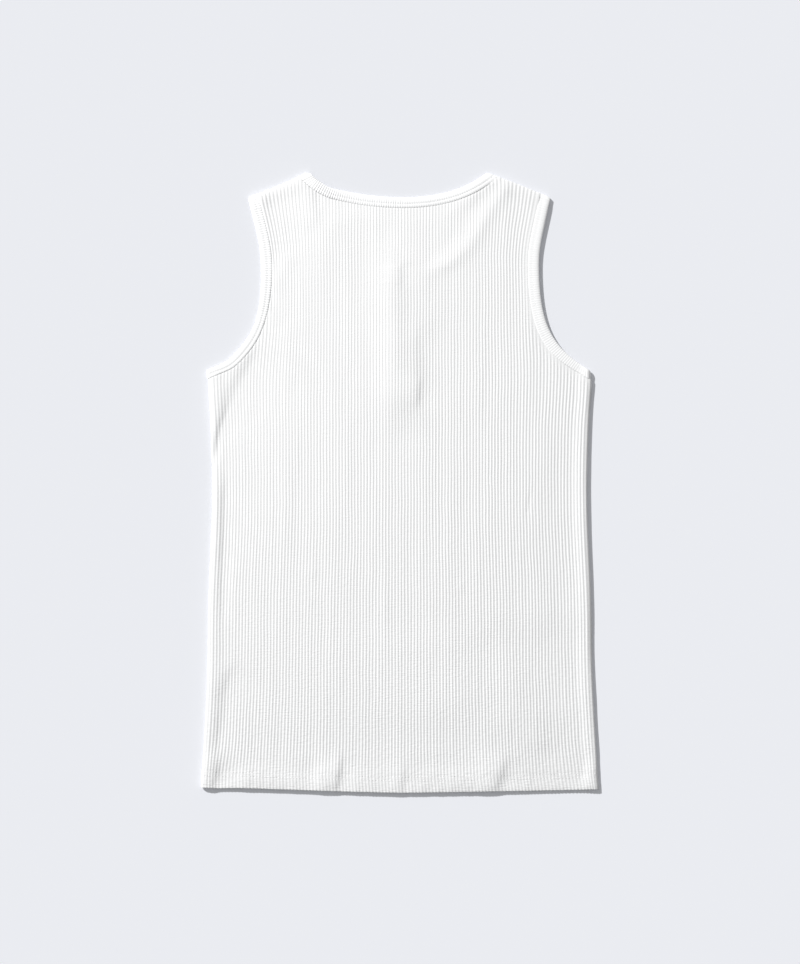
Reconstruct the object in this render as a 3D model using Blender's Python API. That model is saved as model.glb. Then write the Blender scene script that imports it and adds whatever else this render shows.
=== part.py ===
"""Sleeveless rib-knit top with a short front placket, laid flat with its back up.

Sizes are in millimetres until a point is stored. Across runs to the right, heights run up
from the lowest point of the hem, and levels run up from the surface the top lies on.
"""
import math
from collections import namedtuple

import bmesh
import bpy
from mathutils import Vector

MM = 0.001
GAP = 0.3                    # clearance between neighbouring pieces
SEAM_GAP = 0.4               # a little more beside a curved seam, whose facets differ
LENGTH = 663.8               # hem to neck point
MIDDLE = 4.0                 # the neck and placket sit this far to the right

# Cloth
WALL = 1.2                   # one layer between the ribs
RIB_HEIGHT = 0.5
RIBS = 120                   # across one panel
HEM_WALL = 1.9               # two pressed layers
HEM_DEPTH = 17.0
HEM_BLEND = 18.0             # the back settles over this height above the hem
FRONT_WALL = 1.3
SEAM_RIDGE = 0.6             # seam allowance turned in along the sides and shoulders
RIDGE_REACH = 26.0           # the ridge ends this far from the edge
RIDGE_FALL = 12.0            # width over which it falls to the panel
EDGE_ROLL = 6.0              # width over which a side or shoulder rolls down
HEM_ROLL = 3.0
EDGE_LIP = 0.45              # wall left at the very edge
FRONT_ROUND = 0.7            # rounding of the front's lower rim
STRIP_ROUND = 0.3            # rounding of a placket strip

# Body
Section = namedtuple("Section", "height left right")
BODY = (
    Section(0.0, 213.0, 213.0),
    Section(55.0, 209.0, 208.0),
    Section(120.0, 205.7, 205.2),
    Section(205.0, 204.4, 204.2),
    Section(310.0, 200.3, 199.9),
    Section(395.0, 202.2, 201.6),
    Section(440.0, 204.6, 204.6),
)
UNDERARM = BODY[-1].height
UNDERARM_HALF = BODY[-1].right
HEM_BOW_LEFT = 7.0           # how far the hem's ends stand above its middle
HEM_BOW_RIGHT = 3.8
HEM_BOW_POWER = 1.3

# Columns of points, two for each rib, counted from the middle
HALF = RIBS
STRAP_COLUMN = 80            # the rib line that grazes the narrowest part of the armhole
LEAN_POWER = 2.5             # how far in the ribs lean out towards the shoulder tips
STEEP_STEPS = (0.25, 0.5)    # extra columns where the armhole's edge runs steeply
COARSE_STEP = 4              # columns of the inside, and closer together by the armhole
ARMHOLE_STEP = 2
ARMHOLE_COLUMNS = 20

# Armhole: two curves from its narrowest point, up to the shoulder tip and down to the underarm
ARM_BINDING = 11.2
ARM_BINDING_UNDERARM = 8.2
ARM_TAPER_FROM = 0.55        # share of the lower curve after which the binding narrows
NARROW = 562.0               # height of the narrowest point
NARROW_HALF = UNDERARM_HALF * STRAP_COLUMN / HALF + ARM_BINDING + SEAM_GAP
SHOULDER_TIP = (161.6, 635.8)
ARM_UPPER = ((NARROW_HALF, NARROW), (NARROW_HALF, 590.0), (156.6, 611.3), SHOULDER_TIP)
ARM_LOWER = ((NARROW_HALF, NARROW), (NARROW_HALF, 496.0), (167.2, 473.2), (204.9, 450.5))

# Neck: each curve starts at the middle and ends at a neck point
NECK_BINDING = 10.9
NECK_POINT = 96.2
NECK_BACK_RIGHT = ((MIDDLE, 636.7), (44.7, 636.7), (72.5, 645.2), (NECK_POINT, LENGTH))
NECK_BACK_LEFT = ((MIDDLE, 636.7), (-28.0, 637.2), (-77.3, 640.9), (-NECK_POINT, LENGTH))
NECK_FRONT_RIGHT = ((MIDDLE, 570.0), (45.0, 570.0), (99.0, 606.0), (NECK_POINT, LENGTH))
NECK_FRONT_LEFT = ((MIDDLE, 570.0), (-37.0, 570.0), (-99.0, 606.0), (-NECK_POINT, LENGTH))

# Placket: two strips on each other, in a slot in the front
PLACKET_WIDTH = 28.0
PLACKET_BOTTOM = 405.0
PLACKET_STRIP = 1.0
PLACKET_SIDE_FADE = 20.0     # the back comes down beside, below and above it over these
PLACKET_LOW_FADE = 25.0
PLACKET_TOP_FADE = 18.0
PLACKET_MARGIN = 2.0

# Levels
FRONT_BINDING_WALL = 1.3     # the front half of the neck binding lies under the back
ARM_LOWER_WALL = 1.45
BINDING_WALL = 1.9
UPPER_BINDING = ARM_LOWER_WALL + GAP
BACK_INSIDE = FRONT_WALL + GAP
PLACKET_RISE = 2 * PLACKET_STRIP + 2 * GAP - BACK_INSIDE
HEM_RISE = HEM_WALL - FRONT_WALL
NECK_SAG = 1.1               # the back sinks this far where no front lies under it
HOLLOW_START = 11.0          # the sinking starts this far inside the front neckline
HOLLOW_RUN = 20.0
BINDING_SAG = 1.4            # the neck binding sinks with it, away from the neck points
BINDING_SAG_START = 18.0
BINDING_SAG_RUN = 40.0
SEAM_DIP = 0.35              # the panel dips into the groove beside a binding
SEAM_DIP_WIDTH = 1.5
FOLD_START = 3.0             # a binding starts to turn over this far from the edge

# Rows of points
BODY_ROWS = (0.0, 2.5, HEM_DEPTH + 1.0, 30.0, 150.0, 290.0, 375.0, 400.0, 430.0)
CHEST_SHARES = (0.33, 0.66)
YOKE_SHARES = (0.2, 0.45, 0.72)
EDGE_ROW = 3.0               # the last row but one lies this far below the edge
HEM_POINTS = 12              # steps along half of the front's hem
CURVE_STEPS = 18             # stations along each curve of a binding
FINE_STEPS = 96              # samples along a curve that columns are cut by
NECK_STEPS = 24              # samples along the front neckline, for distances
SEAM_OVERRUN = 12.0          # a sampled seam runs on this far past its end
TOP_ROUNDS = 16              # rounds that settle a column's upper end
SIDE_STEPS = 11              # steps along a side of the front
CORNER_MARGIN = 1.0          # curve points this close to a corner are left out
FAR = 99.0                   # stands for any distance that no longer matters


# ---------------------------------------------------------------- curves

def smooth_step(value):
    value = min(1.0, max(0.0, value))
    return value * value * (3.0 - 2.0 * value)


def half_width(side, height):
    """Half width of the body, through its sections."""
    height = min(max(height, BODY[0].height), UNDERARM)
    keys = [row.height for row in BODY]
    values = [getattr(row, side) for row in BODY]
    i = max(k for k in range(len(keys) - 1) if keys[k] <= height)

    def slope(k):
        low, high = max(k - 1, 0), min(k + 1, len(keys) - 1)
        return (values[high] - values[low]) / (keys[high] - keys[low])

    span = keys[i + 1] - keys[i]
    t = (height - keys[i]) / span
    rise = values[i + 1] - values[i]
    return (values[i] + rise * t * t * (3 - 2 * t)
            + span * (slope(i) * t * (1 - t) ** 2 - slope(i + 1) * t * t * (1 - t)))


def curve_point(curve, t):
    """Point and direction at t on a cubic curve of four points."""
    a, b, c, d = (Vector(p) for p in curve)
    s = 1.0 - t
    point = a * s ** 3 + b * 3 * s * s * t + c * 3 * s * t * t + d * t ** 3
    way = (b - a) * s * s + (c - b) * 2 * s * t + (d - c) * t * t
    return point, way.normalized()


def inset_point(curve, t, inset, turn):
    """A point beside the curve: turn is 1 for its left side and -1 for its right."""
    point, way = curve_point(curve, t)
    return point + Vector((-way.y, way.x)) * (inset * turn)


def sampled(curve, inset_at, turn, overrun):
    """Samples beside a curve, run on straight past its end."""
    points = [inset_point(curve, i / FINE_STEPS, inset_at(i / FINE_STEPS), turn)
              for i in range(FINE_STEPS + 1)]
    ahead = (points[-1] - points[-2]).normalized()
    return points + [points[-1] + ahead * overrun]


def read_off(points, key, value):
    """The other coordinate where samples pass a value; key is 0 for across, 1 for height."""
    other = 1 - key
    for low, high in zip(points, points[1:]):
        if (low[key] - value) * (high[key] - value) <= 0 and low[key] != high[key]:
            share = (value - low[key]) / (high[key] - low[key])
            return low[other] + (high[other] - low[other]) * share
    ends = (points[0], points[-1])
    return min(ends, key=lambda p: abs(p[key] - value))[other]


def arm_inset(t):
    """Width of the armhole binding along the lower curve."""
    share = smooth_step((t - ARM_TAPER_FROM) / (1.0 - ARM_TAPER_FROM))
    return ARM_BINDING + (ARM_BINDING_UNDERARM - ARM_BINDING) * share


def shoulder_height(across):
    slope = (LENGTH - SHOULDER_TIP[1]) / (SHOULDER_TIP[0] - NECK_POINT)
    return LENGTH - slope * (abs(across) - NECK_POINT)


SHOULDER_WAY = Vector((SHOULDER_TIP[0] - NECK_POINT, SHOULDER_TIP[1] - LENGTH)).normalized()
SEAM_UPPER = sampled(ARM_UPPER, lambda t: ARM_BINDING + SEAM_GAP, 1, SEAM_OVERRUN)
SEAM_LOWER = sampled(ARM_LOWER, lambda t: arm_inset(t) + SEAM_GAP, -1, SEAM_OVERRUN)
SEAM_NECK_RIGHT = sampled(NECK_BACK_RIGHT, lambda t: NECK_BINDING + SEAM_GAP, -1, SEAM_OVERRUN)
SEAM_NECK_LEFT = sampled(NECK_BACK_LEFT, lambda t: NECK_BINDING + SEAM_GAP, 1, SEAM_OVERRUN)
FREE_LEFT, FREE_RIGHT = ([curve_point(curve, i / NECK_STEPS)[0] for i in range(NECK_STEPS + 1)]
                         for curve in (NECK_FRONT_LEFT, NECK_FRONT_RIGHT))


def hem_height(across):
    bow = HEM_BOW_LEFT if across < 0 else HEM_BOW_RIGHT
    return bow * min(1.0, abs(across) / BODY[0].left) ** HEM_BOW_POWER


def column_across(column, height):
    """Where a rib line runs: in line with the body's sides, then out to the shoulder tips."""
    share = abs(column) / HALF
    across = share * half_width("left" if column < 0 else "right", height)
    if height > NARROW:
        lean = read_off(SEAM_UPPER, 1, height) - SEAM_UPPER[0][0]
        across += lean * min(1.0, column_share(column)) ** LEAN_POWER
    return math.copysign(across, column)


def column_share(column):
    return abs(column) / STRAP_COLUMN


def top_height(column):
    """Where a rib line meets the neck, the shoulder or the armhole."""
    if abs(column) > STRAP_COLUMN:
        return read_off(SEAM_LOWER, 0, abs(column) / HALF * UNDERARM_HALF)
    height = SHOULDER_TIP[1]
    for _ in range(TOP_ROUNDS):
        across = column_across(column, height)
        neck = SEAM_NECK_RIGHT if across >= MIDDLE else SEAM_NECK_LEFT
        height = shoulder_height(across)
        if abs(across) < abs(neck[-1][0]):
            height = min(height, read_off(neck, 0, across))
    return height


def row_heights(column):
    """Heights of one column's points, from the hem up."""
    bow = hem_height(column_across(column, 0.0))
    heights = [h + bow * (1.0 - h / BODY_ROWS[-1]) for h in BODY_ROWS]
    top = top_height(column)
    start = BODY_ROWS[-1]
    end = NARROW if column_share(column) <= 1 else top
    heights += [start + (end - start) * share for share in CHEST_SHARES]
    heights += [end - EDGE_ROW, end]
    if column_share(column) <= 1:
        heights += [end + (top - end) * share for share in YOKE_SHARES]
        heights += [top - EDGE_ROW, top]
    return heights


LOW_ROWS = len(BODY_ROWS) + len(CHEST_SHARES) + 2


# ---------------------------------------------------------------- levels of the back

def over_placket(across, height):
    """1 over the placket, falling softly to 0 beside and below it."""
    aside = abs(across - MIDDLE) - (PLACKET_WIDTH / 2 + PLACKET_MARGIN)
    below = PLACKET_BOTTOM - 2 * PLACKET_MARGIN - height
    above = height - (NECK_FRONT_RIGHT[0][1] + 2 * PLACKET_MARGIN)
    return (smooth_step(1 - aside / PLACKET_SIDE_FADE) * smooth_step(1 - below / PLACKET_LOW_FADE)
            * smooth_step(1 - above / PLACKET_TOP_FADE))


def over_neck_hollow(across, height):
    """1 well inside the front neckline, where the back has no front under it."""
    line = FREE_RIGHT if across >= MIDDLE else FREE_LEFT
    if abs(across) >= NECK_POINT or height <= read_off(line, 0, across):
        return 0.0
    here = Vector((across, height))
    nearest = min((here - p).length for p in FREE_LEFT + FREE_RIGHT)
    return smooth_step((nearest - HOLLOW_START) / HOLLOW_RUN)


def in_hem(across, height):
    """1 in the folded hem, falling softly to 0 above it."""
    above = height - hem_height(across) - (HEM_DEPTH + 1.0)
    return smooth_step(1.0 - above / HEM_BLEND)


def inside_level(across, height):
    """Underside of the back: plain, and clear of what lies below it."""
    return (BACK_INSIDE + HEM_RISE * in_hem(across, height)
            + PLACKET_RISE * over_placket(across, height)
            - NECK_SAG * over_neck_hollow(across, height))


def roll(distance, width):
    """0 at an edge, rising to 1 as a quarter round."""
    share = 1.0 - min(1.0, max(0.0, distance / width))
    return math.sqrt(1.0 - share * share)


def outside_level(column, across, height):
    """Upper face of the back: ribs on the wall, rolled down at the free edges."""
    inside = inside_level(across, height)
    side = half_width("left" if column < 0 else "right", height)
    to_side = side - abs(across) if abs(column) > STRAP_COLUMN else FAR
    to_shoulder = (shoulder_height(across) - height) * SHOULDER_WAY.x
    to_edge = min(to_side, to_shoulder)
    ridge = SEAM_RIDGE * smooth_step((RIDGE_REACH - to_edge) / RIDGE_FALL)
    wall = WALL + (HEM_WALL - WALL) * in_hem(across, height) + ridge
    wall += RIB_HEIGHT * (1.0 - abs(column % 2 - 1.0))
    wall -= SEAM_DIP * smooth_step(1.0 - to_seam(across, height) / SEAM_DIP_WIDTH)
    to_hem = height - hem_height(across)
    share = min(roll(to_edge, EDGE_ROLL), roll(to_hem, HEM_ROLL))
    return inside + EDGE_LIP + (wall - EDGE_LIP) * share


def to_seam(across, height):
    """Distance to the nearest binding seam of the back."""
    here = Vector((abs(across), height))
    middle_of_strap = (NECK_POINT + SHOULDER_TIP[0]) / 2
    if here.x > middle_of_strap:
        return min((here - p).length for p in SEAM_UPPER + SEAM_LOWER)
    if height < NARROW:
        return FAR
    neck = SEAM_NECK_RIGHT if across >= MIDDLE else SEAM_NECK_LEFT
    return min((Vector((across, height)) - p).length for p in neck)


# ---------------------------------------------------------------- meshes

def clear_scene():
    for obj in list(bpy.data.objects):
        bpy.data.objects.remove(obj, do_unlink=True)


def cloth(name, colour, roughness):
    material = bpy.data.materials.new(name)
    material.use_nodes = True
    shader = material.node_tree.nodes["Principled BSDF"]
    shader.inputs["Base Color"].default_value = (*colour, 1.0)
    shader.inputs["Roughness"].default_value = roughness
    shader.inputs["Metallic"].default_value = 0.0
    return material


def stored(across, height, level):
    """A point of the finished top, in metres about the middle of its length."""
    return Vector((across, height - LENGTH / 2, level)) * MM


def finish(bm, name, material):
    bmesh.ops.recalc_face_normals(bm, faces=bm.faces[:])
    mesh = bpy.data.meshes.new(name)
    bm.to_mesh(mesh)
    bm.free()
    mesh.materials.append(material)
    obj = bpy.data.objects.new(name, mesh)
    bpy.context.scene.collection.objects.link(obj)
    return obj


def add_surface(bm, columns, level_at):
    """Grid of quads over the given columns; returns each column's points, hem to top."""
    grid = {}
    for column in columns:
        line = []
        for height in row_heights(column):
            across = column_across(column, height)
            line.append(bm.verts.new(stored(across, height, level_at(column, across, height))))
        grid[column] = line
    for left, right in zip(columns, columns[1:]):
        rows = min(len(grid[left]), len(grid[right]))
        for row in range(rows - 1):
            bm.faces.new((grid[left][row], grid[right][row],
                          grid[right][row + 1], grid[left][row + 1]))
    return grid


def close_wall(bm, outer, inner, columns, row_of):
    """Wall between a fine edge of the outer grid and a coarser edge of the inner one."""
    stops = [c for c in inner if columns[0] <= c <= columns[1]]
    for start, end in zip(stops, stops[1:]):
        fine = [outer[c][row_of] for c in sorted(outer) if start <= c <= end]
        low, high = inner[start][row_of], inner[end][row_of]
        turn = (len(fine) - 1) // 2
        for i in range(turn):
            bm.faces.new((fine[i], fine[i + 1], low))
        bm.faces.new((fine[turn], high, low))
        for i in range(turn, len(fine) - 1):
            bm.faces.new((fine[i], fine[i + 1], high))


def close_side(bm, outer, inner, column, rows):
    """Wall along one column, where both grids have the same rows."""
    for row in range(rows[0], rows[1]):
        bm.faces.new((outer[column][row], outer[column][row + 1],
                      inner[column][row + 1], inner[column][row]))


def make_back(material):
    """Back panel: ribs raised over a plain inside, with the hem turned up inside."""
    steep = [STRAP_COLUMN + step for step in STEEP_STEPS]
    right = sorted(list(range(1, HALF + 1)) + steep)
    fine = [-c for c in reversed(right)] + [0] + right
    bend = STRAP_COLUMN + ARMHOLE_COLUMNS
    plain = list(range(COARSE_STEP, STRAP_COLUMN + 1, COARSE_STEP)) + steep + [STRAP_COLUMN + 1]
    plain += list(range(STRAP_COLUMN + ARMHOLE_STEP, bend, ARMHOLE_STEP))
    plain += list(range(bend, HALF + 1, COARSE_STEP))
    coarse = [-c for c in reversed(plain)] + [0] + plain

    bm = bmesh.new()
    outer = add_surface(bm, fine, outside_level)
    inner = add_surface(bm, coarse, lambda column, across, height: inside_level(across, height))
    last = LOW_ROWS - 1
    close_wall(bm, outer, inner, (-HALF, HALF), 0)
    close_wall(bm, outer, inner, (-STRAP_COLUMN, STRAP_COLUMN), -1)
    close_wall(bm, outer, inner, (-HALF, -STRAP_COLUMN), last)
    close_wall(bm, outer, inner, (STRAP_COLUMN, HALF), last)
    for side in (-1, 1):
        close_side(bm, outer, inner, side * HALF, (0, last))
        strap = side * STRAP_COLUMN
        close_side(bm, outer, inner, strap, (last, len(outer[strap]) - 1))
    return finish(bm, "back", material)


def mirrored(points):
    return [Vector((-p[0], p[1])) for p in points]


def hem_line(above):
    """Points across the front at one height above the hem's edge, from left to right."""
    points = []
    for i in range(2 * HEM_POINTS + 1):
        share = i / HEM_POINTS - 1.0
        height = hem_height(share * BODY[0].left) + above
        points.append(Vector((share * half_width("left" if share < 0 else "right", height),
                              height)))
    return points


def front_outline():
    """The front's cut edge above its hem, anticlockwise from the left end of the fold."""
    steps = [i / CURVE_STEPS for i in range(CURVE_STEPS + 1)]
    rise = [UNDERARM * i / SIDE_STEPS for i in range(1, SIDE_STEPS)]
    right_side = [Vector((half_width("right", h), h)) for h in rise]
    left_side = [Vector((-half_width("left", h), h)) for h in reversed(rise)]

    under = Vector((UNDERARM_HALF, read_off(SEAM_LOWER, 0, UNDERARM_HALF)))
    lower = [inset_point(ARM_LOWER, t, arm_inset(t) + SEAM_GAP, -1) for t in reversed(steps)]
    lower = [p for p in lower if p.x < UNDERARM_HALF - CORNER_MARGIN]
    upper = [inset_point(ARM_UPPER, t, ARM_BINDING + SEAM_GAP, 1) for t in steps[2::2]]
    tip_reach = fold_reach(ARM_UPPER, ARM_BINDING + SEAM_GAP)
    tip = Vector(SHOULDER_TIP) - SHOULDER_WAY * tip_reach
    armhole = [under] + lower + upper[:-1] + [tip]

    neck_reach = fold_reach(NECK_FRONT_RIGHT, NECK_BINDING + SEAM_GAP + GAP)
    corner = Vector((NECK_POINT, LENGTH)) + SHOULDER_WAY * neck_reach
    slot = PLACKET_WIDTH / 2 + GAP
    right_neck = [inset_point(NECK_FRONT_RIGHT, t, NECK_BINDING + SEAM_GAP, -1)
                  for t in reversed(steps[:-1])]
    left_neck = [inset_point(NECK_FRONT_LEFT, t, NECK_BINDING + SEAM_GAP, 1) for t in steps[:-1]]
    right_neck = [p for p in right_neck if p.x > MIDDLE + slot + CORNER_MARGIN]
    left_neck = [p for p in left_neck if p.x < MIDDLE - slot - CORNER_MARGIN]
    seam = NECK_FRONT_RIGHT[0][1] - NECK_BINDING - GAP
    notch = [Vector((MIDDLE + slot, seam)), Vector((MIDDLE + slot, PLACKET_BOTTOM)),
             Vector((MIDDLE - slot, PLACKET_BOTTOM)), Vector((MIDDLE - slot, seam))]
    return (hem_line(HEM_DEPTH) + right_side + armhole + [corner] + right_neck + notch
            + left_neck + mirrored([corner]) + mirrored(reversed(armhole)) + left_side)


def thicken(bm, faces, wall):
    """Extrude flat faces upwards and return the new ones."""
    grown = bmesh.ops.extrude_face_region(bm, geom=faces, use_keep_orig=True)["geom"]
    points = [item for item in grown if isinstance(item, bmesh.types.BMVert)]
    bmesh.ops.translate(bm, verts=points, vec=(0, 0, wall * MM))
    return [item for item in grown if isinstance(item, bmesh.types.BMFace)]


def make_front(material):
    """Front panel: plain and flat below, with the hem's second layer turned up on top."""
    bm = bmesh.new()
    outline = [bm.verts.new(stored(p.x, p.y, 0.0)) for p in front_outline()]
    edge = [bm.verts.new(stored(p.x, p.y, 0.0)) for p in hem_line(0.0)]
    fold = outline[:len(edge)]
    bm.faces.new(outline)
    bm.faces.new(edge + fold[::-1])
    top = thicken(bm, bm.faces[:], FRONT_WALL)
    hem_top = min(top, key=lambda face: face.calc_center_bounds().y)
    thicken(bm, [hem_top], HEM_WALL - FRONT_WALL)
    bm.faces.remove(hem_top)
    bmesh.ops.recalc_face_normals(bm, faces=bm.faces[:])
    floor = [f for f in bm.faces if f.normal.z < -0.9]
    rim = [e for e in bm.edges if len([f for f in e.link_faces if f in floor]) == 1]
    bmesh.ops.bevel(bm, geom=rim, offset=FRONT_ROUND * MM, offset_type="OFFSET", segments=2,
                    profile=0.5, affect="EDGES", clamp_overlap=True)
    return finish(bm, "front", material)


# Section of a binding: across its width from the free edge, and through its thickness
Profile = namedtuple("Profile", "across through")
BINDING_PROFILE = (
    Profile(0.00, 0.35), Profile(0.05, 0.80), Profile(0.17, 1.00), Profile(0.84, 1.00),
    Profile(0.96, 0.80), Profile(1.00, 0.45), Profile(1.00, 0.00), Profile(0.05, 0.00),
)


def fold_reach(curve, inset, side=1):
    """How far along the shoulder a binding of this width reaches where it folds over."""
    way = curve_point(curve, 1.0)[1]
    return inset / abs(side * way.x * SHOULDER_WAY.y - way.y * SHOULDER_WAY.x)


Station = namedtuple("Station", "free seam level normal wall")


def station(free, seam, level, wall, up=1.0):
    """A section on a flat stretch; up is 1 in the upper layer and -1 in the lower one."""
    return Station(free, seam, level, Vector((0.0, 0.0, up)), wall)


def set_back(free, seam, way, outward, distance):
    """The two ends of a fold, moved back along the binding by a distance off the edge."""
    back = way * (distance / way.dot(outward))
    return free - back, seam - back


def folded(free, seam, ways, outward, low, high, wall):
    """Three sections that carry a binding over an edge, from the upper layer to the lower."""
    middle = (low + high) / 2
    sections = []
    for angle, way in zip((45.0, 0.0, -45.0), ways):
        out = way * (math.cos(math.radians(angle)) / way.dot(outward))
        up = math.sin(math.radians(angle))
        level = middle + up * (high - low) / 2
        normal = Vector((out.x, out.y, up))
        sections.append(Station(*set_back(free, seam, way, outward, wall), level, normal, wall))
    return sections


def add_band(bm, stations, ring):
    """Skin a binding over its sections, as a ring or with its two ends filled."""
    loops = []
    for s in stations:
        loop = []
        for p in BINDING_PROFILE:
            at = s.free.lerp(s.seam, p.across)
            base = Vector((at.x, at.y, s.level)) + s.normal * (s.wall * p.through)
            loop.append(bm.verts.new(stored(*base)))
        loops.append(loop)
    pairs = list(zip(loops, loops[1:])) + ([(loops[-1], loops[0])] if ring else [])
    for near, far in pairs:
        for i in range(len(near)):
            j = (i + 1) % len(near)
            bm.faces.new((near[i], near[j], far[j], far[i]))
    if not ring:
        bm.faces.new(loops[0])
        bm.faces.new(loops[-1])


def make_armhole_binding(name, side, material):
    """One strip round the armhole: its back half above, its front half below."""
    steps = [i / CURVE_STEPS for i in range(CURVE_STEPS + 1)]
    outward = Vector((-SHOULDER_WAY.y, SHOULDER_WAY.x))
    tip = Vector(SHOULDER_TIP)
    tip_seam = tip - SHOULDER_WAY * fold_reach(ARM_UPPER, ARM_BINDING)
    under = Vector(ARM_LOWER[3])
    under_way = curve_point(ARM_LOWER, 1.0)[1]
    under_seam = under - Vector((0.0, ARM_BINDING_UNDERARM / abs(under_way.x)))
    tip_way = curve_point(ARM_UPPER, 1.0)[1]
    aside = Vector((1.0, 0.0))

    arc = []
    for t in reversed(steps[1:-1:2]):
        arc.append((curve_point(ARM_UPPER, t)[0], inset_point(ARM_UPPER, t, ARM_BINDING, 1)))
    for t in steps[:-1]:
        arc.append((curve_point(ARM_LOWER, t)[0], inset_point(ARM_LOWER, t, arm_inset(t), -1)))
    arc = [set_back(tip, tip_seam, tip_way, outward, FOLD_START)] + arc
    arc.append(set_back(under, under_seam, under_way, aside, FOLD_START))

    high, low, wall = UPPER_BINDING, ARM_LOWER_WALL, BINDING_WALL
    stations = [station(*pair, high, wall) for pair in arc]
    stations += folded(under, under_seam, [under_way] * 3, aside, low, high, ARM_LOWER_WALL)
    stations += [station(*pair, low, ARM_LOWER_WALL, -1.0) for pair in reversed(arc)]
    stations += reversed(folded(tip, tip_seam, [tip_way] * 3, outward, low, high,
                                ARM_LOWER_WALL))
    flipped = [Station(Vector((side * s.free.x, s.free.y)), Vector((side * s.seam.x, s.seam.y)),
                       s.level, Vector((side * s.normal.x, s.normal.y, s.normal.z)), s.wall)
               for s in stations]
    bm = bmesh.new()
    add_band(bm, flipped, ring=True)
    return finish(bm, name, material)


def neck_half(back_curve, front_curve, side):
    """Sections of one half of the neck binding, from the middle back to the placket."""
    steps = [i / CURVE_STEPS for i in range(CURVE_STEPS + 1)]
    way = Vector((side * SHOULDER_WAY.x, SHOULDER_WAY.y))
    outward = Vector((side * -SHOULDER_WAY.y, SHOULDER_WAY.x))
    point = Vector((side * NECK_POINT, LENGTH))
    back_seam = point + way * fold_reach(back_curve, NECK_BINDING, side)
    front_seam = point + way * fold_reach(front_curve, NECK_BINDING, side)
    back_way, front_way = curve_point(back_curve, 1.0)[1], curve_point(front_curve, 1.0)[1]
    ways = (back_way, (back_way + front_way).normalized(), front_way)

    sections = []
    for t in steps[:-1]:
        free = curve_point(back_curve, t)[0]
        seam = inset_point(back_curve, t, NECK_BINDING, -side)
        away = (point - free).length - BINDING_SAG_START
        sunk = BINDING_SAG * smooth_step(away / BINDING_SAG_RUN)
        sections.append(station(free, seam, UPPER_BINDING - sunk, BINDING_WALL))
    high, low, wall = UPPER_BINDING, FRONT_BINDING_WALL, FRONT_BINDING_WALL
    sections.append(station(*set_back(point, back_seam, back_way, outward, FOLD_START),
                            high, BINDING_WALL))
    sections += folded(point, (back_seam + front_seam) / 2, ways, outward, low, high, wall)
    sections.append(station(*set_back(point, front_seam, front_way, outward, FOLD_START),
                            low, wall, -1.0))
    for t in reversed(steps[1:-1]):
        free = curve_point(front_curve, t)[0]
        seam = inset_point(front_curve, t, NECK_BINDING, -side)
        sections.append(station(free, seam, low, wall, -1.0))
    end = Vector((MIDDLE + side * GAP / 2, front_curve[0][1]))
    sections.append(station(end, end - Vector((0.0, NECK_BINDING)), low, wall, -1.0))
    return sections


def make_neck_binding(material):
    """One strip round the neck, open over the placket at the middle of the front."""
    right = neck_half(NECK_BACK_RIGHT, NECK_FRONT_RIGHT, 1)
    left = neck_half(NECK_BACK_LEFT, NECK_FRONT_LEFT, -1)
    bm = bmesh.new()
    add_band(bm, list(reversed(right)) + left[1:], ring=False)
    return finish(bm, "neck_binding", material)


def make_placket_strip(name, level, material):
    """One folded strip of the placket."""
    top = NECK_FRONT_RIGHT[0][1] - NECK_BINDING - GAP
    bottom = PLACKET_BOTTOM + GAP
    centre = stored(MIDDLE, (top + bottom) / 2, level + PLACKET_STRIP / 2)
    bm = bmesh.new()
    bmesh.ops.create_cube(bm, size=1.0)
    bmesh.ops.scale(bm, verts=bm.verts[:],
                    vec=Vector((PLACKET_WIDTH, top - bottom, PLACKET_STRIP)) * MM)
    bmesh.ops.bevel(bm, geom=bm.edges[:], offset=STRIP_ROUND * MM, offset_type="OFFSET",
                    segments=1, profile=0.5, affect="EDGES")
    bmesh.ops.translate(bm, verts=bm.verts[:], vec=centre)
    return finish(bm, name, material)


def main():
    clear_scene()
    jersey = cloth("white_rib", (0.90, 0.90, 0.89), 0.9)
    tape = cloth("white_binding", (0.92, 0.92, 0.91), 0.85)
    make_back(jersey)
    make_front(jersey.copy())
    make_neck_binding(tape)
    make_armhole_binding("armhole_binding_left", -1, tape.copy())
    make_armhole_binding("armhole_binding_right", 1, tape.copy())
    make_placket_strip("placket_upper", 0.0, tape.copy())
    make_placket_strip("placket_under", PLACKET_STRIP + GAP, tape.copy())


main()
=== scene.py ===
import math
from collections import namedtuple

import bmesh
import bpy
import numpy as np
from mathutils import Matrix, Vector


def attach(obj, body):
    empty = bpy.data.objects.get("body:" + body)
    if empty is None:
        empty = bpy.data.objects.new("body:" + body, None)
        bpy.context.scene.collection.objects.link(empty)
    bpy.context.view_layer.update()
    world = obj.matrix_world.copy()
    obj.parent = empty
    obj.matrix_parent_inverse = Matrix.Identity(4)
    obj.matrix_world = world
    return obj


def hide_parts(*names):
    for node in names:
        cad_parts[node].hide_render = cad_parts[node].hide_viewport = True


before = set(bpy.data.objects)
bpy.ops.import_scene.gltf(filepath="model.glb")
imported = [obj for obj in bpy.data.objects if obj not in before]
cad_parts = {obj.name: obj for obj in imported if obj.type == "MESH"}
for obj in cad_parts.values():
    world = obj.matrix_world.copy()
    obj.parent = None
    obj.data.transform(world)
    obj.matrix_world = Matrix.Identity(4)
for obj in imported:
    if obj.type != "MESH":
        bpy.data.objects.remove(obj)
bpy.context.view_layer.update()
print("frame loaded:", sorted(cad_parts))

# Sizes are in millimetres until a point is placed. Across runs right from the middle,
# heights run up from the hem's lowest point, levels run up from the table.
mm = 0.001

Section = namedtuple("Section", "height left right")
Ways = namedtuple("Ways", "right left")

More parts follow.
